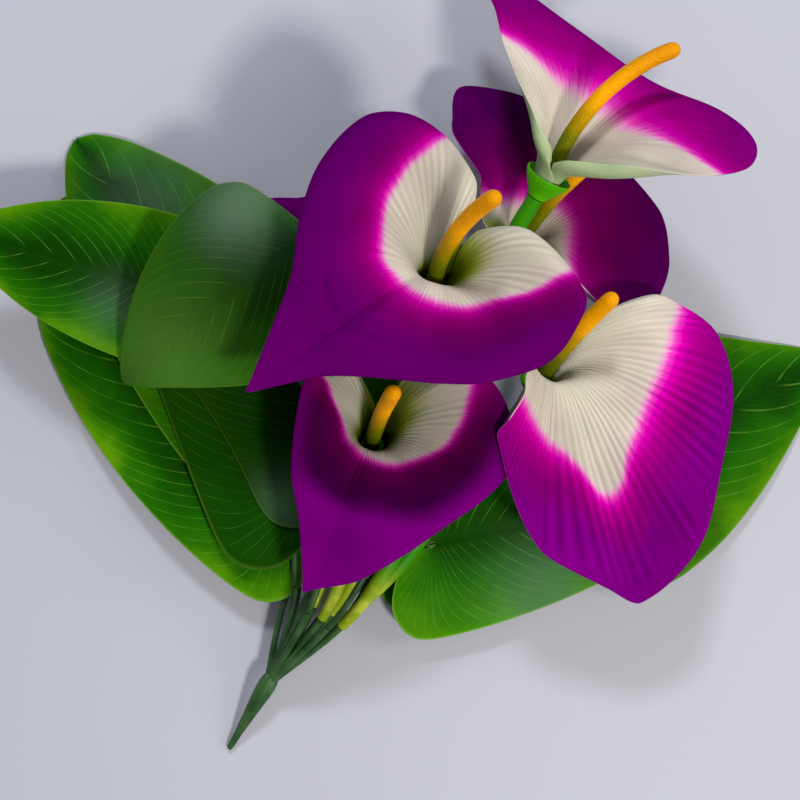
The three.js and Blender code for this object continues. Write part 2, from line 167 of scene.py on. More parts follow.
def setInputs(tree, node, inputs):
    for key, value in inputs.items():
        if isinstance(value, bpy.types.NodeSocket):
            tree.links.new(value, node.inputs[key])
        else:
            node.inputs[key].default_value = value


def addNode(tree, kind, inputs=None, **settings):
    node = tree.nodes.new("ShaderNode" + kind)
    for name, value in settings.items():
        setattr(node, name, value)
    setInputs(tree, node, inputs or {})
    return node


def calc(tree, operation, first, second=0.0, third=0.0):
    return addNode(tree, "Math", {0: first, 1: second, 2: third}, operation=operation).outputs[0]


def remap(tree, value, low, high, toLow=0.0, toHigh=1.0):
    inputs = {"Value": value, "From Min": low, "From Max": high, "To Min": toLow, "To Max": toHigh}
    return addNode(tree, "MapRange", inputs, interpolation_type="SMOOTHSTEP").outputs["Result"]


def ramp(tree, value, stops):
    node = addNode(tree, "ValToRGB", {"Fac": value})
    elements = node.color_ramp.elements
    elements[0].position, elements[-1].position = stops[0][0], stops[-1][0]
    for place, colour in stops[1:-1]:
        elements.new(place)
    for k, (place, colour) in enumerate(stops):
        elements[k].color = paint(*colour)
    return node.outputs["Color"]


# A Mix node's colours go in at sockets 6 and 7 and come out at 2
def mixColours(tree, share, first, second, blend="MIX"):
    node = addNode(tree, "Mix", {"Factor": share}, data_type="RGBA", blend_type=blend)
    for key, colour in ((6, first), (7, second)):
        linked = isinstance(colour, bpy.types.NodeSocket)
        setInputs(tree, node, {key: colour if linked else paint(*colour)})
    return node.outputs[2]


def shadeBy(tree, colour, shade):
    tint = addNode(tree, "CombineXYZ", {"X": shade, "Y": shade, "Z": shade}).outputs[0]
    return mixColours(tree, 1.0, colour, tint, "MULTIPLY")


def grain(tree, place, scale, detail=2.0, roughness=0.5):
    inputs = {"Vector": place, "Scale": scale, "Detail": detail, "Roughness": roughness}
    return addNode(tree, "TexNoise", inputs).outputs["Fac"]


def makeGroup(name, inputs, outputs):
    group = bpy.data.node_groups.new(name, "ShaderNodeTree")
    for way, sockets in (("INPUT", inputs), ("OUTPUT", outputs)):
        for label, kind in sockets:
            group.interface.new_socket(label, in_out=way, socket_type="NodeSocket" + kind)
    return group, group.nodes.new("NodeGroupInput"), group.nodes.new("NodeGroupOutput")


def useGroup(tree, group, inputs):
    return addNode(tree, "Group", inputs, node_tree=group)


# Plain weave of the printed cloth, from flat coordinates in millimetres
def makeWeaveGroup():
    group, start, end = makeGroup("clothWeave", [("Flat", "Vector"), ("Thread", "Float")],
                                  [("Height", "Float"), ("Shade", "Float")])
    perThread = calc(group, "DIVIDE", 2 * pi, start.outputs["Thread"])
    scaled = addNode(group, "VectorMath", {0: start.outputs["Flat"], "Scale": perThread}, operation="SCALE")
    parts = addNode(group, "SeparateXYZ", {0: scaled.outputs[0]})
    warp, weft = (calc(group, "SINE", parts.outputs[axis]) for axis in "XY")
    height = calc(group, "MULTIPLY_ADD", calc(group, "MULTIPLY", warp, weft), 0.5, 0.5)
    wear = grain(group, start.outputs["Flat"], 0.35, 3)
    shade = calc(group, "MULTIPLY_ADD", height, 0.5, calc(group, "MULTIPLY", wear, 0.5))
    setInputs(group, end, {"Height": height, "Shade": shade})
    return group


# Soft cloudy variation and fine pits, from object coordinates in metres
def makeMottleGroup():
    group, start, end = makeGroup("mottle", [("Place", "Vector"), ("Cloud", "Float"), ("Pit", "Float")],
                                  [("Clouds", "Float"), ("Pits", "Float")])
    setInputs(group, end, {
        "Clouds": grain(group, start.outputs["Place"], start.outputs["Cloud"], 3),
        "Pits": grain(group, start.outputs["Place"], start.outputs["Pit"], 2),
    })
    return group


# Streaks that run outwards along a surface, from its direction (x) and the way out (y)
def makeStreakGroup():
    group, start, end = makeGroup("streaks", [("Along", "Vector"), ("Count", "Float"), ("Length", "Float")],
                                  [("Streak", "Float")])
    parts = addNode(group, "SeparateXYZ", {0: start.outputs["Along"]})
    place = addNode(group, "CombineXYZ", {
        "X": calc(group, "MULTIPLY", parts.outputs["X"], start.outputs["Count"]),
        "Y": calc(group, "MULTIPLY", parts.outputs["Y"], start.outputs["Length"]),
    })
    group.links.new(grain(group, place.outputs[0], 1.0, 3, 0.6), end.inputs["Streak"])
    return group


weaveGroup = makeWeaveGroup()
mottleGroup = makeMottleGroup()
streakGroup = makeStreakGroup()


# What the materials read: a map, a value on the mesh's points, the groups, and a value that a noise sways

def readMap(tree, name):
    return addNode(tree, "UVMap", uv_map=name).outputs["UV"]


def readLayer(tree, name):
    return addNode(tree, "Attribute", attribute_name=name).outputs["Fac"]


def woven(tree, thread, dark=0.0, light=1.0):
    weave = useGroup(tree, weaveGroup, {"Flat": readMap(tree, "flat"), "Thread": thread})
    return weave.outputs["Height"], remap(tree, weave.outputs["Shade"], 0.2, 0.8, dark, light)


def mottled(tree, cloud, pit):
    place = addNode(tree, "TexCoord").outputs["Object"]
    mottle = useGroup(tree, mottleGroup, {"Place": place, "Cloud": cloud, "Pit": pit})
    return mottle.outputs["Clouds"], mottle.outputs["Pits"]


def streaked(tree, along, count, length):
    return useGroup(tree, streakGroup, {"Along": along, "Count": count, "Length": length}).outputs["Streak"]


def swayed(tree, value, sway, reach):
    return calc(tree, "MULTIPLY_ADD", calc(tree, "SUBTRACT", sway, 0.5), reach, value)


def newMaterial(name, shine):
    material = bpy.data.materials.new(name)
    material.use_nodes = True
    shader = material.node_tree.nodes["Principled BSDF"]
    setInputs(material.node_tree, shader, shine)
    return material, material.node_tree, shader


# The colour of a surface and its bump, with the bump's depth in millimetres
def dress(tree, shader, colour, height, depth):
    bump = addNode(tree, "Bump", {"Height": height, "Distance": depth / 1000, "Strength": 1.0})
    setInputs(tree, shader, {"Base Color": colour, "Normal": bump.outputs["Normal"]})


# Routes: smooth curves through given points, with a place and directions at any distance

routeSteps = 24             # between two of the points
shortestGap = 1e-4


def routeSpan(points):
    gaps = [max((points[k + 1] - points[k]).length, shortestGap) ** 0.5 for k in range(3)]
    first = (points[1] - points[0]) / gaps[0] - (points[2] - points[0]) / (gaps[0] + gaps[1])
    last = (points[2] - points[1]) / gaps[1] - (points[3] - points[1]) / (gaps[1] + gaps[2])
    inner = (points[2] - points[1]) / gaps[1]
    leave, arrive = (first + inner) * gaps[1], (last + (points[3] - points[2]) / gaps[2]) * gaps[1]
    change = points[2] - points[1]
    return [easeOver(points[1], change, leave, arrive, step / routeSteps) for step in range(routeSteps)]


def makeRoute(points):
    ends = [2 * points[0] - points[1], *points, 2 * points[-1] - points[-2]]
    places = []
    for k in range(len(points) - 1):
        places += routeSpan(ends[k:k + 4])
    places.append(points[-1].copy())
    distances = [0.0]
    for k in range(1, len(places)):
        distances.append(distances[-1] + (places[k] - places[k - 1]).length)
    side = Vector((0, 0, 1))
    sides, ways = [], []
    for k in range(len(places)):
        way = (places[min(k + 1, len(places) - 1)] - places[max(k - 1, 0)]).normalized()
        side = (side - way * side.dot(way)).normalized()
        ways.append(way)
        sides.append(side)
    return {"places": places, "distances": distances, "ways": ways, "sides": sides, "length": distances[-1]}


def alongRoute(route, distance):
    distances = route["distances"]
    low, high = 0, len(distances) - 1
    while high - low > 1:
        middle = (low + high) // 2
        if distances[middle] <= distance:
            low = middle
        else:
            high = middle
    share = (distance - distances[low]) / (distances[high] - distances[low])
    place = route["places"][low].lerp(route["places"][high], share)
    way = route["ways"][low].lerp(route["ways"][high], clamp(share)).normalized()
    side = route["sides"][low].lerp(route["sides"][high], clamp(share))
    side = (side - way * side.dot(way)).normalized()
    return place, way, side


# Finishing a piece: the mesh goes into metres, gets its materials and rides on the frame. The cup of
# flower_1 is the piece cup_1 and stands for the node flower_1_cup.

def finishPiece(bm, owner, kind, materials):
    for vertex in bm.verts:
        vertex.co = toScene(vertex.co)
    name, node = owner.replace(owner.split("_")[0], kind), owner + "_" + kind
    mesh = bpy.data.meshes.new(name)
    bm.to_mesh(mesh)
    bm.free()
    for polygon in mesh.polygons:
        polygon.use_smooth = True
    piece = bpy.data.objects.new(name, mesh)
    bpy.context.scene.collection.objects.link(piece)
    for material in materials:
        mesh.materials.append(material)
    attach(piece, "root")
    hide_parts(node)
    return piece


# Cloth of a thickness from a single layer: front, back and cut edge, with normals that keep the edge
# crisp
def giveThickness(piece, thickness):
    cloth = piece.modifiers.new("cloth", "SOLIDIFY")
    cloth.thickness = thickness / 1000
    cloth.offset = 0
    cloth.material_offset = 1
    cloth.material_offset_rim = 2
    shading = piece.modifiers.new("shading", "WEIGHTED_NORMAL")
    shading.weight = 90


# A closed round shape along a route: a sphere whose rings follow rows of distance and radius
def turnAlong(bm, route, outline, segments, relief=None):
    made = bmesh.ops.create_uvsphere(bm, u_segments=segments, v_segments=len(outline) - 1, radius=1)
    frames = [alongRoute(route, distance) for distance, radius in outline]
    runLayer = bm.verts.layers.float.get("run")
    for vertex in made["verts"]:
        ring = round(acos(clamp(vertex.co.z, -1, 1)) / pi * (len(outline) - 1))
        turn = atan2(vertex.co.y, vertex.co.x)
        distance, radius = outline[ring]
        place, way, side = frames[ring]
        if runLayer:
            vertex[runLayer] = distance
        if relief and 0 < ring < len(outline) - 1:
            radius += relief(distance, turn, radius)
        vertex.co = place + (side * cos(turn) + way.cross(side) * sin(turn)) * radius
    return made["verts"]


def arcRows(centre, radius, start, end, count):
    rows = []
    for k in range(count + 1):
        angle = radians(lerp(start, end, k / count))
        rows.append((centre[0] + radius * cos(angle), centre[1] + radius * sin(angle)))
    return rows


def straightRows(start, end, count):
    return [tuple(lerp(low, high, k / count) for low, high in zip(start, end)) for k in range(count + 1)]


# Rows with others between them, without the last
def splitRows(rows, count):
    return [row for start, end in zip(rows, rows[1:]) for row in straightRows(start, end, count)[:-1]]


# Flowers. Each one: where its spathe starts, the way it points (azimuth, elevation, turn), its spadix
# (length, bend, way it bends, lean at its foot), how far below its neck the route joins the axis, the
# stem's route from the fork, how far the spathe rises before it opens (angle, height), and its rim as
# rows of the angle round the throat, the place from the base and the tilt. White is how far the pale
# print reaches out along the cloth (angle, distance), soft is how wide its border is, green how far the
# throat's green reaches, the tones are painted shade on the white and the purple, darker for a flower
# that lies in shadow, and groove is how strongly the pleats show in each as painted shade and highlight.
# Dark is a band of painted shade on the purple, partly deeper dye, as rows of angle, its end and its
# strength. Crease is a pressed fold (angle, distance), pleat the depth of the pleats and pleatEnd the share
# of the cloth that they cover. What a flower doesn't say is as in usualFlower.

usualFlower = {
    "lip": [(-186, 3), (186, 3)], "soft": 1.0, "green": 1.0, "dark": None, "crease": None,
    "pleat": 0.12, "pleatEnd": 0.8, "groove": (0.4, 0.2),
}

flowerForms = {
    "flower_1": {
        "base": (12, 43, 88), "axis": (70, 58, 140), "spadix": (70, 27, 130, -6), "bend": 18,
        "stem": [(-31, -89, 33.5), (-18, -60, 38), (2, -32, 39.5), (6, -10, 41), (3, 15, 50)],
        "lip": [(-186, 3), (-110, 3), (-50, 6), (0, 13), (35, 16), (70, 15), (115, 8), (150, 3), (186, 3)],
        "rim": [
            (-186, 11, 13, 9, 60), (-172, 12, 18, 16, 50), (-138, 17, 37, 22, 10), (-124, 13, 46, 23, 0),
            (-112, 4, 57, 23, -15), (-98, -10, 65, 21, -40), (-84, -26, 64, 19, -50),
            (-64, -42, 47, 19, -50), (-42, -50, 25, 19, -50), (-29, -53, 5, 18, -48),
            (-16, -59, -11, 16, -45), (-3, -69, -35, 11, -32), (0, -71, -40, 10, -30),
            (3, -65, -39, 11, -35), (14, -41, -34, 14, -55), (70, 13, -37, 18, -65),
            (92, 31, -34, 20, -65), (108, 45, -28, 23, -65), (124, 54, -16, 25, -65),
            (138, 57, -3, 27, -55), (163, 37, 20, 27, 0), (178, 18, 21, 19, 30), (186, 13, 14, 9, 60),
        ],
        "white": [(-186, 90), (-125, 72), (-109, 61), (-87, 51), (-70, 43), (-40, 31), (-7, 23), (29, 24),
                  (78, 27), (106, 32), (122, 44), (141, 60), (186, 90)],
        "soft": 0.65, "green": 1.3, "paintedShade": (0.8, 0.66),
        "dark": [(20, 0, 0), (60, 46, 0.22), (100, 54, 0.28), (140, 76, 0.28), (165, 90, 0)],
        "crease": [(-24, 52), (-9, 52), (11, 50), (28, 48)], "pleat": 0.2, "pleatEnd": 0.6,
        "groove": (0.6, 0.12),
    },
    "flower_2": {
        "base": (58, 87, 62), "axis": (60, 25, 20), "spadix": (79, 46, 270, -12), "bend": 18,
        "stem": [(-20, -91, 28.5), (1, -60, 34), (20, -28, 35.5), (34, 5, 37.5), (42, 40, 43)],
        "rim": [
            (-186, 3, 7, 13, 75), (-172, 8, 7, 20, 95), (-155, 20, 5, 26, 105), (-138, 33, 3, 33, 85),
            (-122, 58, -1, 36, 20), (-106, 77, 3, 30, 0), (-90, 81, 14, 22, 0), (-65, 70, 28, 10, 0),
            (-42, 44, 43, -6, 0), (-20, 14, 67, -16, 0), (0, -25, 96, -24, 0), (20, -19, 73, -10, 0),
            (45, -16, 55, 2, 15), (105, -7, 28, 24, 65), (135, -3, 18, 26, 95), (162, 1, 12, 22, 95),
            (186, 2, 8, 14, 80),
        ],
        "white": [(-186, 90), (-120, 80), (-111, 58), (-102, 46), (-70, 37), (-36, 37), (-13, 39), (8, 43),
                  (20, 50), (31, 60), (45, 75), (186, 90)],
        "soft": 1.9, "green": 1.2, "paintedShade": (0.97, 0.82),
    },
    "flower_3": {
        "base": (48, 62, 32), "axis": (60, 32, 20), "spadix": (74, 35, 270, 0), "bend": 16,
        "stem": [(-31, -90, 16), (-5, -62, 21), (12, -32, 21.5), (25, 5, 20)],
        "rim": [
            (-186, 4, 4, 10, 60), (-170, 20, -8, 16, 40), (-150, 36, -24, 20, 20), (-130, 50, -31, 22, 0),
            (-110, 59, -17, 24, 0), (-90, 62, -3, 22, 0), (-70, 58, 18, 14, 0), (-28, 24, 56, -2, 0),
            (-10, 1, 68, -6, 0), (0, -22, 71, -6, 0), (14, -26, 56, 4, 0), (38, -25, 46, 14, 20),
            (110, -15, 30, 18, 40), (145, -15, 19, 12, 50), (168, -12, 10, 10, 60), (186, -5, 5, 10, 70),
        ],
        "white": [(-186, 60), (-150, 34), (-132, 24), (-78, 24), (-44, 24), (0, 20), (60, 20), (120, 28),
                  (186, 50)],
        "soft": 1.4, "paintedShade": (0.9, 0.45),
    },
    "flower_4": {
        "base": (57, 7, 48), "axis": (60, 52, -126), "spadix": (62, 18, 81, 0), "bend": 18,
        "stem": [(-21, -92, 19.5), (6, -63, 24), (28, -28, 26)],
        "lip": [(-186, 3), (-150, 8), (-110, 13), (-60, 13), (0, 10), (50, 7), (110, 3), (186, 3)],
        "rim": [
            (-186, -1, 10, 8, 60), (-172, -3, 9, 18, 50), (-152, -7, 3, 26, 20), (-132, -8, -5, 28, 0),
            (-112, -14, -15, 28, -20), (-90, -18, -23, 24, -30), (-32, 0, -68, 8, -20),
            (-12, 29, -85, 0, -20), (0, 43, -91, -4, -20), (30, 65, -67, 8, -20), (58, 73, -34, 14, -20),
            (88, 77, -3, 17, -20), (110, 70, 20, 18, -20), (130, 54, 32, 18, -10), (150, 43, 35, 18, 0),
            (176, 22, 26, 16, 30), (186, 10, 13, 10, 60),
        ],
        "white": [(-186, 70), (-130, 60), (-115, 45), (-100, 32), (-79, 30), (-26, 40), (-13, 50), (-1, 65),
                  (12, 64), (21, 55), (36, 50), (60, 48), (86, 54), (128, 71), (150, 84), (186, 90)],
        "green": 0.6, "paintedShade": (1.0, 1.0),
        "pleat": 0.4, "pleatEnd": 0.97, "groove": (0.5, 0.9),
    },
    "flower_5": {
        "base": (-12, -19, 42), "axis": (75, 66, 169), "spadix": (61, 8, 101, 0), "bend": 7,
        "stem": [(-38, -90, 27), (-27, -60, 31.5), (-18, -36, 32)],
        "lip": [(-186, 3), (-110, 4), (-60, 9), (-10, 14), (30, 14), (70, 10), (120, 5), (150, 3),
                (186, 3)],
        "rim": [
            (-186, 3, 9, 7, 60), (-172, 1, 19, 18, 50), (-135, -10, 36, 28, 0), (-115, -21, 34, 28, -20),
            (-95, -27, 25, 28, -40), (-45, -32, -9, 20, -40), (-20, -29, -31, 16, -40),
            (-3, -28, -56, 7, -31), (0, -28, -60, 6, -30), (3, -23, -59, 7, -32), (14, -5, -55, 12, -40),
            (60, 28, -34, 18, -40), (105, 54, -13, 22, -40), (120, 58, 3, 24, -30),
            (140, 52, 22, 28, -20), (155, 40, 32, 30, 0), (178, 13, 27, 20, 40), (186, 6, 11, 8, 60),
        ],
        "white": [(-186, 80), (-125, 70), (-105, 43), (-96, 36), (-81, 24), (-60, 18), (-24, 17), (14, 19),
                  (68, 24), (91, 30), (122, 44), (146, 57), (160, 70), (186, 80)],
        "soft": 0.65, "green": 1.6, "paintedShade": (0.58, 0.9),
        "dark": [(-135, 60, 0.6), (-105, 50, 0.7), (-60, 41, 0.76), (-27, 43, 0.78), (25, 43, 0.78),
                 (57, 49, 0.78), (82, 53, 0.76), (123, 64, 0.75), (150, 80, 0.4)],
        "crease": [(-20, 39), (-2, 41), (11, 42), (31, 43)], "pleat": 0.25, "pleatEnd": 0.6,
        "groove": (0.6, 0.12),
    },
    "flower_6": {
        "base": (2, 50, 34), "axis": (110, 45, 50), "spadix": (55, 15, 90, 0), "bend": 10,
        "stem": [(-29, -91, 24.5), (-11, -60, 30), (5, -30, 31), (12, 0, 30)],
        "rim": [
            (-186, 2, 5, 10, 60), (-165, 10, 10, 16, 40), (-140, 12, 30, 20, 10), (-115, 10, 47, 16, 0),
            (-90, -8, 54, 10, -10), (-35, -40, 36, 0, -20), (0, -64, 33, -6, -20), (15, -60, 17, 0, -30),
            (40, -50, 0, 8, -30), (70, -35, -11, 16, -30), (135, -5, -8, 22, 10), (165, 3, 4, 19, 40),
            (186, 4, 6, 10, 60),
        ],
        "white": [(-186, 60), (-120, 40), (-80, 30), (0, 26), (80, 28), (120, 40), (186, 60)],
        "paintedShade": (0.8, 0.6),
    },
}
flowerForms = {name: {**usualFlower, **form} for name, form in flowerForms.items()}

spatheShape = {
    "columns": 384,
    "rows": 60,
    "cloth": 0.4,             # thickness
    "throatRadius": 5,
    "wrapStep": 0.6,          # how far one edge of the wrap lies inside the other, each way
    "throatFlare": 12,
    "lowLip": 3,              # cloth that rises no further than this before it opens has no fold
    "highLip": 15,            # where it rises this far it folds over tightly
    "foldPull": 8,
    "lipShare": 0.15,         # share of the rows that run up to where the cloth opens
    "risePull": 0.42,
    "rimPull": 0.38,
    "axisReach": 25,          # nearer the axis than this, the cloth leaves in its own direction
    # the throat's green is print, and part of its dark olive at the foot is painted shade
    "greenReach": (12, 34),   # how far the green print reaches, opposite the wrap and at it
    "greenTurn": (95, 165),   # angles between which that reach grows
    "mapStart": 8,            # the weave fans out from this far behind the foot
    "mapTurn": 0.8,           # and through this share of the angle
}


# Axes of a flower: w along its axis, u and v across it, with the spathe's point towards u
def flowerAxes(form):
    azimuth, elevation, turn = form["axis"]
    w = heading(azimuth, elevation)
    side = heading(azimuth + 90, 0)
    up = w.cross(side)
    u = side * sin(radians(turn)) - up * cos(radians(turn))
    return u, w.cross(u), w


# Points of the spathe at an angle round the throat, from its foot in the cup up and over to the rim
def spatheLine(form, axes, angle):
    u, v, w = axes
    shape = spatheShape
    *rimPlace, tilt = smooth(form["rim"], angle)
    height = smooth(form["lip"], angle)[0]
    around = u * cos(radians(angle)) + v * sin(radians(angle))
    foot = around * (shape["throatRadius"] + shape["wrapStep"] * angle / 180)
    rise = w * cos(radians(shape["throatFlare"])) + around * sin(radians(shape["throatFlare"]))
    lip = foot + rise * height
    rim = Vector(rimPlace)
    radial = rim - w * rim.dot(w)
    share = min(radial.length / shape["axisReach"], 1)
    outward = (around * (1 - share) + radial.normalized() * share).normalized()
    span = (rim - lip).length
    arrive = outward * cos(radians(tilt)) + w * sin(radians(tilt))
    folded = clamp((height - shape["lowLip"]) / (shape["highLip"] - shape["lowLip"]))
    leave = lip + rise * lerp(shape["risePull"] * span, shape["foldPull"], folded)
    reach = rim - arrive * shape["rimPull"] * span
    points = []
    for row in range(shape["rows"] + 1):
        s = row / shape["rows"]
        if s < shape["lipShare"]:
            points.append(foot.lerp(lip, s / shape["lipShare"]))
            continue
        t = (s - shape["lipShare"]) / (1 - shape["lipShare"])
        left = 1 - t
        start = lip * left ** 3 + leave * 3 * left * left * t
        points.append(start + reach * 3 * left * t * t + rim * t ** 3)
    return points


# Unevenness of the cloth: how fast each kind changes with the angle and the distance, and its seed
clothNoises = {
    "wander": (0.05, 0.02, 7.0),
    "strength": (0.11, 0.015, 3.0),
    "wave": (0.03, 0.05, 11.0),
    "shine": (0.08, 0.02, 5.0),
    "cloud": (0.04, 0.06, 15.0),
}


def uneven(kind, angle, distance):
    anglePace, distancePace, seed = clothNoises[kind]
    return noise.noise(Vector((angle * anglePace, distance * distancePace, seed)))


pleatShape = {
    "spacing": 5.2,           # degrees from one pressed pleat to the next
    "wander": 1.8,            # degrees that a pleat strays
    "strength": (0.7, 0.9),   # its middle and how far it changes
    "start": (3, 14),         # distances from the foot over which the pleats set in
    "ending": 0.25,           # share of the cloth over which they end
    "swell": 0.4,             # how far the cloth rises between two grooves, in depths of a groove
    "wave": 0.35,             # height of the broad waves
    "waveStart": (6, 25),
    "creaseWidth": 1.9,
    "creaseDepth": 1.3,
    "creaseStart": (-6, 6),   # degrees round the crease's ends over which it sets in and ends
    "creaseEnd": (-8, 6),
}


# Pressed pleats at a place on the cloth: 1 in a groove and -1 midway to the next
def pleatWave(angle, distance):
    stray = pleatShape["wander"] * uneven("wander", angle, distance)
    return cos(2 * pi * (angle + stray) / pleatShape["spacing"])


# How far the pressed cloth stands out of its smooth form, towards the inside of the flower
def spatheRelief(form, angle, distance, length):
    shape = pleatShape
    wave = pleatWave(angle, distance)
    middle, change = shape["strength"]
    strength = clamp(middle + change * uneven("strength", angle, distance))
    end = form["pleatEnd"]
    fade = blendIn(distance, *shape["start"]) * (1 - blendIn(distance / length, end - shape["ending"], end))
    out = -form["pleat"] * (max(0.0, wave) ** 3 - shape["swell"] * max(0.0, -wave)) * strength * fade
    out += shape["wave"] * uneven("wave", angle, distance) * blendIn(distance, *shape["waveStart"])
    if form["crease"]:
        first, last = form["crease"][0][0], form["crease"][-1][0]
        across = (distance - smooth(form["crease"], clamp(angle, first, last))[0]) / shape["creaseWidth"]
        fading = blendIn(angle - first, *shape["creaseStart"])
        fading *= 1 - blendIn(angle - last, *shape["creaseEnd"])
        out -= shape["creaseDepth"] * exp(-across * across) * fading
    return out


# Tones of the spathes' cloth: the border between white and purple, a band of painted shade that is partly
# deeper dye, painted shade and highlight along the pleats, and a random unevenness
printAndShade = {
    "border": (-2, 8),        # millimetres beyond the white over which the tones change
    "darkStart": (-1, 5),     # the same for the deeper band
    "darkEnd": (-8, 4),       # and millimetres beyond that band's end
    "pleats": 0.3,
    "pleatStart": (10, 30),   # distances from the foot over which the pleats show
    "pleatEnd": (0.9, 1),     # and the shares of the cloth over which they stop
    "clouds": 0.16,
}


# How bright the cloth is painted: painted shade on its white and purple, a band of painted shade that is
# partly deeper dye, painted shade and highlight along the pleats, and a broad random unevenness
def spatheTone(form, angle, distance, beyond, length):
    shape = printAndShade
    outer = blendIn(beyond, *shape["border"])
    tone = lerp(*form["paintedShade"], outer)
    # A band of painted shade on the purple, partly deeper dye
    if form["dark"]:
        end, strength = smooth(form["dark"], clamp(angle, form["dark"][0][0], form["dark"][-1][0]))
        inside = 1 - blendIn(distance - end, *shape["darkEnd"])
        tone *= 1 - strength * blendIn(beyond, *shape["darkStart"]) * inside
    # Painted shade and highlight along the pleats, darker and lighter in turn
    wave = pleatWave(angle, distance) * blendIn(distance, *shape["pleatStart"])
    wave *= 1 - blendIn(distance / length, *shape["pleatEnd"])
    wave *= 0.5 + uneven("shine", angle, distance)
    tone *= 1 + shape["pleats"] * lerp(*form["groove"], outer) * wave
    return tone * (1 + shape["clouds"] * uneven("cloud", angle, distance))


def makeSpathe(name, form, materials):
    shape = spatheShape
    axes = flowerAxes(form)
    base = Vector(form["base"])
    first, last = form["rim"][0][0], form["rim"][-1][0]
    columns, rows = shape["columns"], shape["rows"]
    lines, distances = [], []
    for column in range(columns + 1):
        points = spatheLine(form, axes, lerp(first, last, column / columns))
        travelled = [0.0]
        for row in range(rows):
            travelled.append(travelled[-1] + (points[row + 1] - points[row]).length)
        lines.append(points)
        distances.append(travelled)
    bm = bmesh.new()
    flatLayer, alongLayer = (bm.loops.layers.uv.new(label) for label in ("flat", "along"))
    printLayer, greenLayer, toneLayer = (bm.verts.layers.float.new(label)
                                         for label in ("beyondWhite", "green", "tone"))
    bmesh.ops.create_grid(bm, x_segments=columns, y_segments=rows, size=1)
    for vertex in bm.verts:
        i = round((1 - vertex.co.x) / 2 * columns)
        j = round((vertex.co.y + 1) / 2 * rows)
        angle, distance, length = lerp(first, last, i / columns), distances[i][j], distances[i][rows]
        across = lines[min(i + 1, columns)][j] - lines[max(i - 1, 0)][j]
        along = lines[i][min(j + 1, rows)] - lines[i][max(j - 1, 0)]
        normal = along.cross(across).normalized()
        vertex.co = base + lines[i][j] + normal * spatheRelief(form, angle, distance, length)
        beyond = distance - smooth(form["white"], angle)[0]
        greenReach = form["green"] * lerp(*shape["greenReach"], blendIn(abs(angle), *shape["greenTurn"]))
        vertex[printLayer] = beyond / form["soft"]
        vertex[toneLayer] = spatheTone(form, angle, distance, beyond, length)
        vertex[greenLayer] = distance / greenReach
        reach, turn = distance + shape["mapStart"], radians(angle * shape["mapTurn"])
        for loop in vertex.link_loops:
            loop[flatLayer].uv = (reach * cos(turn), reach * sin(turn))
            loop[alongLayer].uv = (angle, distance)
    giveThickness(finishPiece(bm, name, "spathe", materials), shape["cloth"])


# Cloth of the spathes. A streak is how fast it changes across and along the cloth, and a reach how many
# millimetres it moves the print.

spatheCloth = {
    "shine": {"Roughness": 0.85, "Specular IOR Level": 0.0},
    "thread": 0.9,
    "weaveShade": (0.95, 1.03),
    "weaveBump": 0.03,
    "printSpan": (-22, 30),   # millimetres beyond the white that the print's colours cover
    "print": [
        (0.0, (192, 187, 168)), (0.38, (194, 182, 170)), (0.423, (212, 136, 184)), (0.46, (212, 56, 170)),
        (0.51, (194, 0, 156)), (0.6, (156, 0, 122)), (0.75, (126, 0, 106)), (1.0, (108, 0, 110)),
    ],
    "broadStreak": (0.55, 0.035),
    "broadReach": 5,
    "fineStreak": (1.7, 0.05),
    "fineReach": 3,
    "throatReach": 0.4,
    "throatFade": (1.0, 0.5),
    # The throat's green print, with its dark olive at the foot partly painted shade deep in the throat
    "throat": [(0.0, (34, 40, 2)), (0.35, (66, 76, 6)), (0.65, (136, 148, 34)), (1.0, (178, 180, 132))],
    "backSpan": (-30, 20),
    "back": [(0.0, (166, 184, 138)), (0.35, (180, 176, 158)), (0.5, (176, 120, 170)), (1.0, (104, 8, 116))],
    "backStreak": (0.8, 0.04),
    "backReach": 14,
    "edge": (128, 10, 122),
    "wornEdge": (150, 70, 140),
    "whiteEdge": (198, 192, 172),
    "whiteFade": (6, -4),
    "fray": (3, 0.5),
}


def spatheFrontMaterial():
    cloth = spatheCloth
    material, tree, shader = newMaterial("spatheFront", cloth["shine"])
    height, shade = woven(tree, cloth["thread"], *cloth["weaveShade"])
    along = readMap(tree, "along")
    broad = streaked(tree, along, *cloth["broadStreak"])
    fine = streaked(tree, along, *cloth["fineStreak"])
    shift = swayed(tree, readLayer(tree, "beyondWhite"), broad, cloth["broadReach"])
    shift = swayed(tree, shift, fine, cloth["fineReach"])
    low, high = cloth["printSpan"]
    place = calc(tree, "DIVIDE", calc(tree, "SUBTRACT", shift, low), high - low)
    green = swayed(tree, readLayer(tree, "green"), fine, cloth["throatReach"])
    outside, inThroat = ramp(tree, place, cloth["print"]), ramp(tree, green, cloth["throat"])
    colour = mixColours(tree, remap(tree, green, *cloth["throatFade"]), outside, inThroat)
    # The tone layer is painted shade and highlight (each flower's shade, the deeper band, the pleats) with
    # a random unevenness, laid over the print
    colour = shadeBy(tree, colour, calc(tree, "MULTIPLY", shade, readLayer(tree, "tone")))
    dress(tree, shader, colour, height, cloth["weaveBump"])
    return material


def spatheBackMaterial():
    cloth = spatheCloth
    material, tree, shader = newMaterial("spatheBack", cloth["shine"])
    height, shade = woven(tree, cloth["thread"], *cloth["weaveShade"])
    streak = streaked(tree, readMap(tree, "along"), *cloth["backStreak"])
    shift = swayed(tree, readLayer(tree, "beyondWhite"), streak, cloth["backReach"])
    colour = ramp(tree, remap(tree, shift, *cloth["backSpan"]), cloth["back"])
    dress(tree, shader, shadeBy(tree, colour, shade), height, cloth["weaveBump"])
    return material


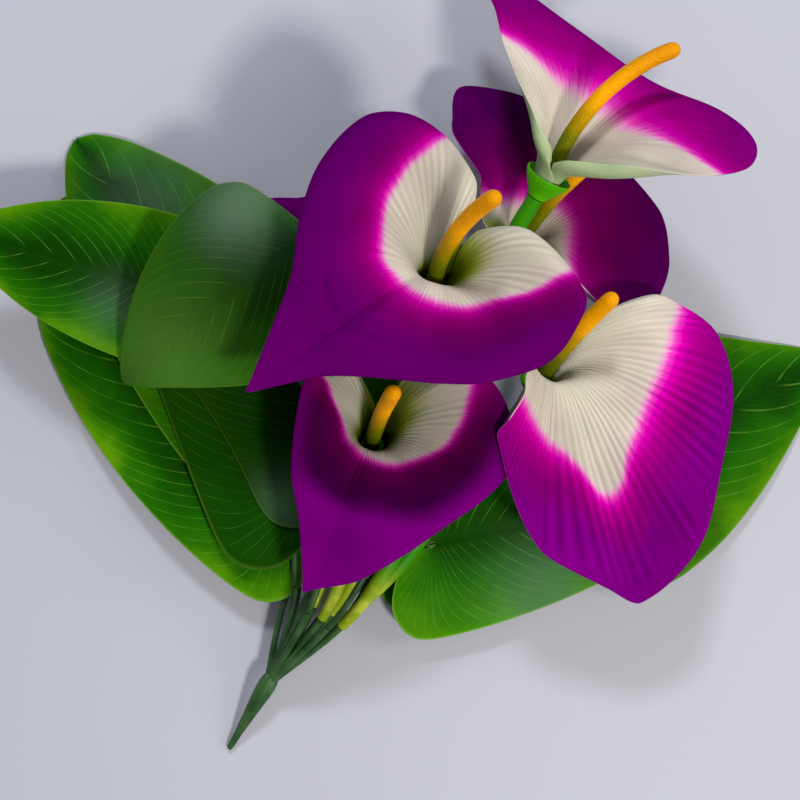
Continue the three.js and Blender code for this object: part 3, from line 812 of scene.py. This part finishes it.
def spatheEdgeMaterial():
    cloth = spatheCloth
    material, tree, shader = newMaterial("spatheEdge", cloth["shine"])
    fray = streaked(tree, readMap(tree, "along"), *cloth["fray"])
    worn = mixColours(tree, remap(tree, fray, 0.35, 0.7), cloth["edge"], cloth["wornEdge"])
    white = remap(tree, readLayer(tree, "beyondWhite"), *cloth["whiteFade"])
    setInputs(tree, shader, {"Base Color": mixColours(tree, white, worn, cloth["whiteEdge"])})
    return material


# Spadices

spadixShape = {
    "radius": 3.3,
    "joints": 8,
    "bendPower": 1.2,       # a spadix bends more towards its tip
    "around": 36,
    "ring": 0.75,           # distance between rings
    "tip": 1.2,             # length of the round tip, in radii
    "tipRings": 8,
    "grain": 0.12,
    "grainRadius": 3.2,     # where the grain is read
    "grainScales": [(1.25, 1), (2.6, 0.6)],     # each with its strength
}


def spadixRoute(form, axes):
    u, v, w = axes
    length, bend, way, foot = form["spadix"]
    lean = u * cos(radians(way)) + v * sin(radians(way))
    joints, power = spadixShape["joints"], spadixShape["bendPower"]
    places = [Vector(form["base"])]
    for k in range(joints):
        angle = radians(foot + (bend - foot) * ((k + 0.5) / joints) ** power) if k else 0
        places.append(places[k] + (w * cos(angle) + lean * sin(angle)) * length / joints)
    return makeRoute(places)


def spadixRelief(distance, turn, radius):
    shape = spadixShape
    place = Vector((cos(turn) * shape["grainRadius"], sin(turn) * shape["grainRadius"], distance))
    return shape["grain"] * sum(noise.noise(place * scale) * share for scale, share in shape["grainScales"])


def makeSpadix(name, form, material):
    shape = spadixShape
    route = spadixRoute(form, flowerAxes(form))
    radius, length, tip = shape["radius"], route["length"], shape["radius"] * shape["tip"]
    outline = [(0.0, 0.0), (0.0, radius * 0.7)]
    outline += straightRows((0.1, radius * 0.94), (length - tip, radius), round(length / shape["ring"]))
    for k in range(1, shape["tipRings"] + 1):
        turn = radians(90 * k / shape["tipRings"])
        outline.append((length - tip * (1 - sin(turn)), radius * cos(turn)))
    bm = bmesh.new()
    bm.verts.layers.float.new("run")
    turnAlong(bm, route, outline, shape["around"], spadixRelief)
    finishPiece(bm, name, "spadix", [material])


spadixFoam = {
    "shine": {"Roughness": 0.35, "Specular IOR Level": 0.06},
    "mottle": (160, 1500),
    "sway": 12,
    "span": (0, 75),        # millimetres from the foot that the colours cover
    "colours": [(0.0, (44, 70, 0)), (0.2, (96, 108, 0)), (0.42, (184, 140, 0)), (0.62, (250, 168, 0)),
                (1.0, (214, 140, 0))],
    "pit": (140, 92, 0),
    "pitSpan": (0.62, 0.4, 0.0, 0.16),
    "roughness": (0.35, 0.65, 0.5, 0.24),
    "bump": 0.35,
}


def spadixMaterial():
    foam = spadixFoam
    material, tree, shader = newMaterial("spadixFoam", foam["shine"])
    clouds, pits = mottled(tree, *foam["mottle"])
    shift = swayed(tree, readLayer(tree, "run"), clouds, foam["sway"])
    colour = ramp(tree, remap(tree, shift, *foam["span"]), foam["colours"])
    colour = mixColours(tree, remap(tree, pits, *foam["pitSpan"]), colour, foam["pit"])
    setInputs(tree, shader, {"Roughness": remap(tree, pits, *foam["roughness"])})
    dress(tree, shader, colour, pits, foam["bump"])
    return material


# Cups. Their rows are heights from the base and radii, from the foot up the outside and down the inside.

cupShape = {
    "sides": 128,
    "routeEnd": 12,         # how far the cup's route runs each way from the base
    "foot": [(-5.8, 0.0), (-5.8, 2.4)],
    "outside": [(-5.8, 3.6), (-5.5, 4.15), (-4.6, 4.6), (-3.2, 5.5), (-1.4, 6.9), (1.9, 8.8), (4.2, 9.7)],
    "lip": [(4.2, 9.7), (4.6, 9.72), (4.75, 9.6), (4.65, 9.45)],
    "inside": [(4.2, 9.3), (1.9, 8.3), (-0.3, 6.3)],
    "floor": [(-0.35, 6.0), (-0.3, 3.0), (-0.3, 0.0)],
    "ribs": 24,
    "ribDepth": 0.07,
    "ribStart": (-4, 2),    # heights over which the ribs set in
}


def makeCup(name, form, material):
    shape = cupShape
    base, way = Vector(form["base"]), flowerAxes(form)[2]
    end = shape["routeEnd"]
    route = makeRoute([base + way * height for height in (-end, -end / 3, end / 3, end)])
    rows = [*shape["foot"], *splitRows(shape["outside"], 3), *shape["lip"], *splitRows(shape["inside"], 4),
            *shape["floor"]]

    def ribs(distance, turn, radius):
        return shape["ribDepth"] * sin(turn * shape["ribs"]) * blendIn(distance - end, *shape["ribStart"])

    bm = bmesh.new()
    turnAlong(bm, route, [(height + end, radius) for height, radius in rows], shape["sides"], ribs)
    finishPiece(bm, name, "cup", [material])


# Stems: the trunk with its forks, a sleeve over each flower's fork and a petiole on each leaf's

stemShape = {
    "forkPoint": (-58, -124, 11),
    "trunkTip": (-75, -153, 1.6),
    "forkLength": 46,
    "pegRadius": 1.6,
    "pegDepth": 16,
    "cupBelow": 5.8,
    "gap": 0.3,
    "ring": 2.2,            # distance between rings
}

sleeveShape = {
    "radius": 3.5,
    "openRadius": 2.35,
    "boreRadius": 2.1,
    "taper": (3, 44),       # distances from the open end over which it widens
    "sides": 28,
    "creaseDepth": 0.1,
    "creaseScale": (1.5, 0.12),     # round it and along it
}

petioleShape = {
    "radius": 1.4,
    "sides": 20,
    "ring": 2.5,
    "sheet": 0.7,           # thickness of the stiff sheet that the rib lies under
    "ribStops": (-14, 2, 17, 34),   # distances along the midrib that the rib passes
}


def flowerRoute(form):
    w = flowerAxes(form)[2]
    neck = Vector(form["base"]) - w * (stemShape["cupBelow"] + stemShape["gap"] + 0.1)
    points = [Vector(point) for point in (stemShape["forkPoint"], *form["stem"])]
    points += [neck - w * form["bend"], neck - w * 3, neck]
    return makeRoute(points)


def makeSleeve(name, form, material):
    shape = sleeveShape
    route = flowerRoute(form)
    start, end = stemShape["forkLength"], route["length"]
    outer, bore, slim = shape["radius"], shape["boreRadius"], shape["openRadius"]
    lip = (slim - bore) / 2
    boreEnd = start + stemShape["pegDepth"] + 1
    low, high = shape["taper"]
    outline = [(boreEnd, 0.0), (boreEnd, bore * 0.7)]
    outline += straightRows((boreEnd - 0.2, bore), (start + lip, bore), 6)
    outline += arcRows((start + lip, bore + lip), lip * 1.25, 250, 110, 6)
    outline += straightRows((start + low, slim), (start + high, outer), 20)
    rings = round((end - start - high) / stemShape["ring"])
    outline += straightRows((start + high + 2, outer), (end - 1.2, outer), rings)
    outline += [(end - 0.5, outer + 0.05), (end - 0.1, outer * 0.92), (end, outer * 0.5), (end, 0.0)]

    def creases(distance, turn, radius):
        if radius < slim:
            return 0.0
        across, along = shape["creaseScale"]
        place = Vector((cos(turn) * across, sin(turn) * across, distance * along))
        return shape["creaseDepth"] * noise.noise(place)

    bm = bmesh.new()
    bm.verts.layers.float.new("run")
    turnAlong(bm, route, outline, shape["sides"], creases)
    finishPiece(bm, name, "sleeve", [material])


# Moulded plastics: two colours that drift into each other, and how far the fine pits change the roughness

plastics = {
    "cupPlastic": {
        "shine": {"Roughness": 0.36, "Specular IOR Level": 0.12}, "colours": ((74, 168, 0), (96, 196, 4)),
    },
    "stemPlastic": {
        "shine": {"Roughness": 0.45, "Specular IOR Level": 0.25}, "colours": ((30, 62, 26), (52, 88, 44)),
    },
}

plasticGrain = {"cloud": 90, "pit": 2200, "bump": 0.04, "roughness": (0.08, -0.06)}


def plasticMaterial(name):
    plastic, fine = plastics[name], plasticGrain
    material, tree, shader = newMaterial(name, plastic["shine"])
    clouds, pits = mottled(tree, fine["cloud"], fine["pit"])
    colour = mixColours(tree, remap(tree, clouds, 0.35, 0.65), *plastic["colours"])
    dull, glossy = (plastic["shine"]["Roughness"] + change for change in fine["roughness"])
    setInputs(tree, shader, {"Roughness": remap(tree, pits, 0.3, 0.7, dull, glossy)})
    dress(tree, shader, colour, pits, fine["bump"])
    return material


# Green plastic that pales towards the open end of a sleeve
sleevePaint = {
    "shine": {"Roughness": 0.38, "Specular IOR Level": 0.15},
    "cloud": 120,
    "sway": 16,
    "pale": ((128, 150, 20), (168, 180, 52)),
    "green": (48, 130, 0),
    "greenSpan": (62, 84),  # distances along the route over which it turns green
}


def sleeveMaterial():
    sleeve, fine = sleevePaint, plasticGrain
    material, tree, shader = newMaterial("sleevePlastic", sleeve["shine"])
    clouds, pits = mottled(tree, sleeve["cloud"], fine["pit"])
    shift = swayed(tree, readLayer(tree, "run"), clouds, sleeve["sway"])
    pale = mixColours(tree, remap(tree, clouds, 0.4, 0.6), *sleeve["pale"])
    colour = mixColours(tree, remap(tree, shift, *sleeve["greenSpan"]), pale, sleeve["green"])
    dress(tree, shader, colour, pits, fine["bump"])
    return material


# Half outline of a leaf: rows of the way round from notch to apex, then x in lengths and y in widths
leafMargin = [
    (0, 0, 0), (0.1, -0.13, 0.22), (0.2, -0.195, 0.6), (0.3, -0.13, 0.93), (0.4, 0.05, 1),
    (0.55, 0.33, 0.93), (0.7, 0.6, 0.74), (0.85, 0.85, 0.42), (0.94, 0.965, 0.18), (1, 1, 0),
]

# The same for a leaf whose lobes are pressed forward
plainMargin = [
    (0, 0, 0), (0.1, 0.04, 0.25), (0.2, 0.09, 0.55), (0.3, 0.16, 0.86), (0.4, 0.27, 1),
    (0.55, 0.44, 0.9), (0.7, 0.63, 0.66), (0.85, 0.83, 0.34), (0.94, 0.945, 0.14), (1, 1, 0),
]

# Leaves. Each one: where its blade meets the petiole, heading and turn to the left over its length, slope
# at the base and the tip, length and half widths left and right, how far each half bends down as base and
# tip angles, and the petiole's route from the fork. Sun is how yellow the print is, and shade how bright
# the leaf is painted: below 1 it is painted shade. The satin patch is painted sheen, where the cloth is
# painted grey as if it shone, and fresh a place where the print is paler: x, y, radius and strength. Lobe
# scales the part behind the petiole.

leafForms = {
    "leaf_1": {
        "base": (-49, -1, 18), "heading": 129, "slope": (0, -12.5), "size": (150, 50, 50),
        "stem": [(-46, -88, 15.5), (-46, -45, 16.3)], "sun": 0.35, "paintedSheen": (107, -10, 22, 0.5),
    },
    "leaf_2": {
        "base": (-97, 45, 40), "heading": 163.5, "slope": (8, -8), "size": (90, 32, 32),
        "stem": [(-38, -88, 34.5), (-30, -60, 37.5), (-32, -20, 37), (-45, 15, 37), (-70, 38, 37.5)],
        "sun": 0.75, "paintedSheen": (20, 12, 12, 0.4),
    },
    "leaf_3": {
        "base": (-32, 64, 87), "heading": 208, "turn": 13, "slope": (-6, -44), "size": (114, 44, 43),
        "curlLeft": (15, 10), "curlRight": (45, 20), "margin": plainMargin, "sun": 0.2, "shade": 0.6,
        "paintedSheen": (22, -28, 18, 1.0), "fresh": (88, 8, 34, 1.0),
        "stem": [(-24, -88, 39), (-8, -60, 44), (10, -30, 47), (16, 0, 53), (19, 30, 65), (20, 58, 77),
                 (5, 77, 84)],
    },
    "leaf_4": {
        "base": (-32, 11, 7), "heading": 148, "slope": (0, -5), "size": (142, 46, 46),
        "stem": [(-46, -90, 6), (-38, -40, 5)], "sun": 0.3,
    },
    "leaf_5": {
        "base": (-48, -43, 13.5), "heading": 140.5, "slope": (0, -9.2), "size": (142, 45, 47),
        "stem": [(-51, -90, 10)], "sun": 1.0, "shade": 1.15,
    },
    "leaf_6": {
        "base": (-33, -35, 21), "heading": 110, "turn": 38, "slope": (1, 3), "size": (142, 52, 24),
        "curlLeft": (4, 4),
        "stem": [(-41, -88, 17.5)], "sun": 0.0, "shade": 0.5,
    },
    "leaf_7": {
        "base": (-27, -23, 26), "heading": 112, "turn": 62, "slope": (3, 5), "size": (120, 40, 22),
        "curlLeft": (12, 8),
        "stem": [(-40, -88, 20.5), (-22, -52, 23.8)], "sun": 0.1, "shade": 0.36,
        "paintedSheen": (-10, 28, 16, 0.4),
    },
    "leaf_8": {
        "base": (10, -63, 15), "heading": 14, "turn": -14, "slope": (-2.5, -2.5), "size": (118, 46, 41),
        "lobe": 0.85, "curlRight": (8, 0), "stem": [(-23.5, -94, 13.3)], "sun": 0.25, "shade": 1.5,
        "paintedSheen": (48, -28, 20, 0.8),
    },
    "leaf_9": {
        "base": (54, -37, 9.4), "heading": 15, "turn": 16, "slope": (0, -7), "size": (146, 60, 60),
        "margin": plainMargin,
        "stem": [(-27.5, -92, 10), (10, -55, 9)], "sun": 0.8,
    },
    "leaf_10": {
        "base": (12, -49, 6), "heading": 2, "slope": (-2, -2), "size": (125, 44, 44),
        "stem": [(-31, -94, 6)], "sun": 0.1,
    },
}

leafShape = {
    "rows": 150,
    "columns": 36,
    "columnPower": 1.15,    # how the columns crowd towards the midrib
    "cloth": 0.5,
    "ends": (0.012, 0.996), # share of the half outline where the blade begins and ends
    "midribStep": 2,
    "midribSpan": (-0.25, 1.02),    # in lengths of the blade
    "midribPlaces": 120,
    "rootPower": 1.8,       # how the veins' roots crowd towards the base
    "veinPull": 0.35,
    "veinLift": 0.1,
    "veinBow": 0.55,
    "veins": 27,
    "veinHalvings": 14,
    "veinDepth": 0.06,
    "midribWidth": 1.1,
    "midribDepth": 0.5,
    "ripple": 0.5,
    "rippleScale": (5, 2),
}


# Midrib of a leaf: the place and three directions at a distance from the blade's base
def leafMidrib(form):
    length, step = form["size"][0], leafShape["midribStep"]

    def along(x):
        t = clamp(x / length)
        azimuth = form["heading"] + form.get("turn", 0) * t
        return azimuth, heading(azimuth, lerp(*form["slope"], t))

    def at(x):
        place = Vector(form["base"])
        count = max(1, -int(-abs(x) // step))
        for k in range(count):
            place += along(x * (k + 0.5) / count)[1] * x / count
        azimuth, forward = along(x)
        left = heading(azimuth + 90, 0)
        return place, forward, left, forward.cross(left)

    return at


# Dense places along the midrib, so that each point of the blade reads two of them
def leafRibTable(form):
    rib = leafMidrib(form)
    low, high = (form["size"][0] * share for share in leafShape["midribSpan"])
    count = leafShape["midribPlaces"]
    samples = [rib(lerp(low, high, k / count)) for k in range(count + 1)]

    def at(x):
        share = clamp((x - low) / (high - low)) * count
        k = min(int(share), count - 1)
        return [first.lerp(second, share - k) for first, second in zip(samples[k], samples[k + 1])]

    return at


def leafPoint(form, rib, q, v, margin):
    shape = leafShape
    length, leftWidth, rightWidth = form["size"]
    marginX, marginY = margin
    endX = length * marginX * (form.get("lobe", 1) if marginX < 0 else 1)
    rootX = length * q ** shape["rootPower"]
    turnX = rootX + shape["veinPull"] * (endX - rootX) + shape["veinLift"] * length * (1 - q)
    side = abs(v)
    x = (1 - side) ** 2 * rootX + 2 * (1 - side) * side * turnX + side ** 2 * endX
    y = marginY * (2 * (1 - side) * side * shape["veinBow"] + side ** 2)
    width = leftWidth if v > 0 else rightWidth
    t = clamp(x / length)
    curl = form.get("curlLeft" if v > 0 else "curlRight", (0, 0))
    bend = radians(lerp(*curl, t)) + 1e-6
    place, forward, left, up = rib(x)
    sign = 1 if v > 0 else -1
    place = place + left * (sign * width * sin(bend * y) / bend) - up * (width * (1 - cos(bend * y)) / bend)
    return place, x, sign * width * y


# Vein through a place on the blade, found by halving: veins leave the base together and sweep forward
def veinAt(q, v):
    low, high = 0.0, 1.0
    for k in range(leafShape["veinHalvings"]):
        middle = (low + high) / 2
        if middle - (middle - middle ** 3) * (1 - abs(v)) < q:
            low = middle
        else:
            high = middle
    return (low + high) / 2


def leafRelief(q, vein, v, y, seed):
    shape = leafShape
    line = cos(2 * pi * vein * shape["veins"])
    fade = blendIn(q, 0.05, 0.25) * blendIn(abs(v), 0.04, 0.2) * (1 - blendIn(abs(v), 0.8, 1))
    pressed = shape["veinDepth"] * max(0.0, line) ** 6 * fade
    crease = shape["midribDepth"] * exp(-(y / shape["midribWidth"]) ** 2) * (1 - blendIn(q, 0.75, 0.98))
    place = Vector((q * shape["rippleScale"][0], v * shape["rippleScale"][1], seed))
    return shape["ripple"] * noise.noise(place) * blendIn(abs(v), 0.2, 0.9) - pressed - crease


# Strength of a soft round patch at a place on the blade
def patchAt(patch, x, y):
    if not patch:
        return 0.0
    middleX, middleY, radius, strength = patch
    return strength * exp(-((x - middleX) ** 2 + (y - middleY) ** 2) / radius ** 2)


veinGrid = {}               # the vein at each place of the grid, the same on every blade


def makeBlade(name, form, materials):
    shape = leafShape
    rib = leafRibTable(form)
    seed = float(name.split("_")[1])
    rows, columns = shape["rows"], shape["columns"]
    bm = bmesh.new()
    veinLayer, flatLayer = (bm.loops.layers.uv.new(label) for label in ("veins", "flat"))
    paintedSheenLayer, freshLayer = (bm.verts.layers.float.new(label) for label in ("paintedSheen", "fresh"))
    bmesh.ops.create_grid(bm, x_segments=rows, y_segments=columns, size=1)
    grid = {}
    margins = []
    for row in range(rows + 1):
        q = lerp(*shape["ends"], row / rows)
        margins.append((q, smooth(form.get("margin", leafMargin), q)))
    for vertex in bm.verts:
        i = round((vertex.co.x + 1) / 2 * rows)
        j = round((vertex.co.y + 1) / 2 * columns)
        v = 2 * j / columns - 1
        v = abs(v) ** shape["columnPower"] * (1 if v > 0 else -1)
        q, margin = margins[i]
        grid[i, j] = (vertex, q, v, *leafPoint(form, rib, q, v, margin))
    for (i, j), (vertex, q, v, place, x, y) in grid.items():
        along = grid[min(i + 1, rows), j][3] - grid[max(i - 1, 0), j][3]
        across = grid[i, min(j + 1, columns)][3] - grid[i, max(j - 1, 0)][3]
        normal = along.cross(across).normalized()
        if (i, j) not in veinGrid:
            veinGrid[i, j] = veinAt(q, v)
        vein = veinGrid[i, j]
        vertex.co = place + normal * leafRelief(q, vein, v, y, seed)
        vertex[paintedSheenLayer] = patchAt(form.get("paintedSheen"), x, y)
        vertex[freshLayer] = patchAt(form.get("fresh"), x, y)
        for loop in vertex.link_loops:
            loop[veinLayer].uv = (vein, v)
            loop[flatLayer].uv = (x, y)
    giveThickness(finishPiece(bm, name, "blade", materials), shape["cloth"])


leafCloth = {
    "shine": {"Roughness": 0.5, "Specular IOR Level": 0.02},
    "plainShine": {"Roughness": 0.6, "Specular IOR Level": 0.3},
    "thread": 1.0,
    "weaveShade": (0.9, 1.06),
    "weaveBump": 0.02,
    "mottle": (28, 300),
    "sway": 1.4,
    "deep": (10, 52, 0),
    "middle": (20, 84, 0),
    "middleSpan": (0.0, 0.7),       # the print pales from the midrib, at 0, to the edge, at 1
    "margin": (46, 106, 2),
    "marginSpan": (0.45, 1.15),
    "marginShares": (0.35, 1.0),    # without sun and in full sun
    "sunny": (92, 140, 0),
    "sunnySpan": (0.7, 1.3),
    "vein": (94, 140, 40),
    "fineVeins": 5,                 # fine veins to each pressed one
    "fineShare": 0.025,
    "veinShares": (0.18, 0.5),
    "edgeLine": 0.6,
    # Painted sheen: the grey that the satin patches paint where the cloth would shine
    "paintedSheen": (112, 138, 116),
    "paintedSheenShare": 0.5,
    "fresh": (84, 134, 44),
    "freshShare": 0.6,
    "back": (72, 108, 40),
    "edge": (120, 150, 76),
}


def veinLines(tree, vein, count):
    return calc(tree, "COSINE", calc(tree, "MULTIPLY", vein, 2 * pi * count))


def leafFrontMaterial(name, sun, brightness):
    cloth, veinCount = leafCloth, leafShape["veins"]
    material, tree, shader = newMaterial(name, cloth["shine"])
    # Brightness is the leaf's shade: below 1 it is painted shade, laid over the weave's shading
    height, shade = woven(tree, cloth["thread"], *(level * brightness for level in cloth["weaveShade"]))
    veins = readMap(tree, "veins")
    parts = addNode(tree, "SeparateXYZ", {0: veins})
    vein, v = parts.outputs["X"], calc(tree, "ABSOLUTE", parts.outputs["Y"])
    out = swayed(tree, v, mottled(tree, *cloth["mottle"])[0], cloth["sway"])
    colour = mixColours(tree, remap(tree, out, *cloth["middleSpan"]), cloth["deep"], cloth["middle"])
    margin = remap(tree, out, *cloth["marginSpan"], 0.0, lerp(*cloth["marginShares"], sun))
    colour = mixColours(tree, margin, colour, cloth["margin"])
    colour = mixColours(tree, remap(tree, out, *cloth["sunnySpan"], 0.0, sun), colour, cloth["sunny"])
    fine = veinLines(tree, vein, veinCount * cloth["fineVeins"])
    fine = remap(tree, fine, 0.3, 1.0, 0.0, cloth["fineShare"])
    colour = mixColours(tree, fine, colour, cloth["vein"])
    mask = remap(tree, veinLines(tree, vein, veinCount), 0.95, 0.998)
    strength = remap(tree, grain(tree, veins, 5.0, 2), 0.35, 0.65, *cloth["veinShares"])
    for share in (strength, remap(tree, v, 1.0, 0.86), remap(tree, v, 0.02, 0.15)):
        mask = calc(tree, "MULTIPLY", mask, share)
    mask = calc(tree, "MAXIMUM", mask, remap(tree, v, 0.97, 0.995, 0.0, cloth["edgeLine"]))
    colour = shadeBy(tree, mixColours(tree, mask, colour, cloth["vein"]), shade)
    # Fresh patches are paler print; satin patches are painted sheen, grey as if the cloth shone
    for patch in ("fresh", "paintedSheen"):
        share = calc(tree, "MULTIPLY", readLayer(tree, patch), cloth[patch + "Share"])
        colour = mixColours(tree, share, colour, cloth[patch])
    dress(tree, shader, colour, height, cloth["weaveBump"])
    return material


def leafPlainMaterial(name, colour):
    material, tree, shader = newMaterial(name, leafCloth["plainShine"])
    height, shade = woven(tree, leafCloth["thread"])
    darker = tuple(round(level * 0.8) for level in colour)
    dress(tree, shader, mixColours(tree, shade, darker, colour), height, leafCloth["weaveBump"])
    return material


# Petioles and the trunk with its forks

def leafRoute(form):
    shape = petioleShape
    rib = leafMidrib(form)
    drop = shape["sheet"] / 2 + stemShape["gap"] + shape["radius"]
    points = [Vector(point) for point in (stemShape["forkPoint"], *form["stem"])]
    for x in shape["ribStops"]:
        place, forward, left, up = rib(x)
        points.append(place - up * drop)
    return makeRoute(points)


def makePetiole(name, form, material):
    shape = petioleShape
    route = leafRoute(form)
    start, end, radius = stemShape["forkLength"], route["length"], shape["radius"]
    outline = [(start, 0.0), (start, radius * 0.6), (start + 0.3, radius)]
    outline += straightRows((start + 1, radius), (end - 12, radius), round((end - start) / shape["ring"]))
    outline += straightRows((end - 10, radius * 0.97), (end - 1, radius * 0.6), 5)
    outline += [(end - 0.3, radius * 0.4), (end, 0.0)]
    bm = bmesh.new()
    turnAlong(bm, route, outline, shape["sides"])
    finishPiece(bm, name, "petiole", [material])


trunkShape = {
    "profile": [(0, 0), (0.01, 1.2), (9, 1.8), (18, 2.5), (29, 3.6), (36, 3.9), (41, 2.5), (42, 0)],
    "length": 42,
    "sides": 48,
    "grooves": 7,
    "grooveTwist": 0.05,
    "grooveDepth": (0.22, 0.1),     # the wave's height and how far it lies inside
    "grooveStart": (4, 16),
    "forkSides": 16,
}


def makeTrunk(material):
    stem, shape = stemShape, trunkShape
    tip, fork, length = Vector(stem["trunkTip"]), Vector(stem["forkPoint"]), shape["length"]
    axis = (fork - tip).normalized()
    route = makeRoute([tip + axis * (length * k / 3) for k in range(4)])
    outline = [(0.0, 0.0), (0.0, 0.9), (0.15, 1.2)]
    outline += [(distance, smooth(shape["profile"], distance)[0]) for distance in range(1, length)]
    outline.append((length, 0.0))

    def grooves(distance, turn, radius):
        height, inset = shape["grooveDepth"]
        wave = sin(turn * shape["grooves"] + distance * shape["grooveTwist"])
        return height * wave * blendIn(distance, *shape["grooveStart"]) - inset

    bm = bmesh.new()
    turnAlong(bm, route, outline, shape["sides"], grooves)
    forks = [(flowerRoute(form), stem["pegRadius"], stem["forkLength"] + stem["pegDepth"])
             for form in flowerForms.values()]
    forks += [(leafRoute(form), petioleShape["radius"], stem["forkLength"] - stem["gap"])
              for form in leafForms.values()]
    for forkRoute, radius, end in forks:
        rows = [(0.0, 0.0), (0.0, radius * 0.6), (0.4, radius)]
        rows += straightRows((1.5, radius), (end - 1, radius), round(end / stem["ring"]))
        rows += [(end - 0.3, radius * 0.9), (end, radius * 0.5), (end, 0.0)]
        turnAlong(bm, forkRoute, rows, shape["forkSides"])
    finishPiece(bm, "stem", "trunk", [material])


# Floor: a plain pale sheet with a faint mottle

def makeFloor():
    bm = bmesh.new()
    halfSide = view["floorSize"] / 2 / 1000
    bmesh.ops.create_grid(bm, x_segments=8, y_segments=8, size=halfSide)
    mesh = bpy.data.meshes.new("floor")
    bm.to_mesh(mesh)
    bm.free()
    floor = bpy.data.objects.new("floor", mesh)
    bpy.context.scene.collection.objects.link(floor)
    material, tree, shader = newMaterial("floorPaper", {"Roughness": 0.6, "Specular IOR Level": 0.3})
    light = view["floorColour"]
    darker = tuple(level - 5 for level in light)
    clouds = mottled(tree, 3, 900)[0]
    setInputs(tree, shader, {"Base Color": mixColours(tree, remap(tree, clouds, 0.3, 0.7), darker, light)})
    mesh.materials.append(material)


makeCamera()
makeLamps()
makeFloor()
print("camera, lamps and floor made")

spatheMaterials = [spatheFrontMaterial(), spatheBackMaterial(), spatheEdgeMaterial()]
foam = spadixMaterial()
cupPlastic = plasticMaterial("cupPlastic")
sleevePlastic = sleeveMaterial()
stemPlastic = plasticMaterial("stemPlastic")
leafBack = leafPlainMaterial("leafBack", leafCloth["back"])
leafEdge = leafPlainMaterial("leafEdge", leafCloth["edge"])
print("materials made")

for flowerName, flowerForm in flowerForms.items():
    makeSpathe(flowerName, flowerForm, spatheMaterials)
    makeSpadix(flowerName, flowerForm, foam)
    makeCup(flowerName, flowerForm, cupPlastic)
    makeSleeve(flowerName, flowerForm, sleevePlastic)
print("flowers made")

for leafName, leafForm in leafForms.items():
    frontName = leafName.replace("leaf_", "leafFront")
    leafFront = leafFrontMaterial(frontName, leafForm["sun"], leafForm.get("shade", 1))
    makeBlade(leafName, leafForm, [leafFront, leafBack, leafEdge])
    makePetiole(leafName, leafForm, stemPlastic)
makeTrunk(stemPlastic)
print("leaves and stem made")
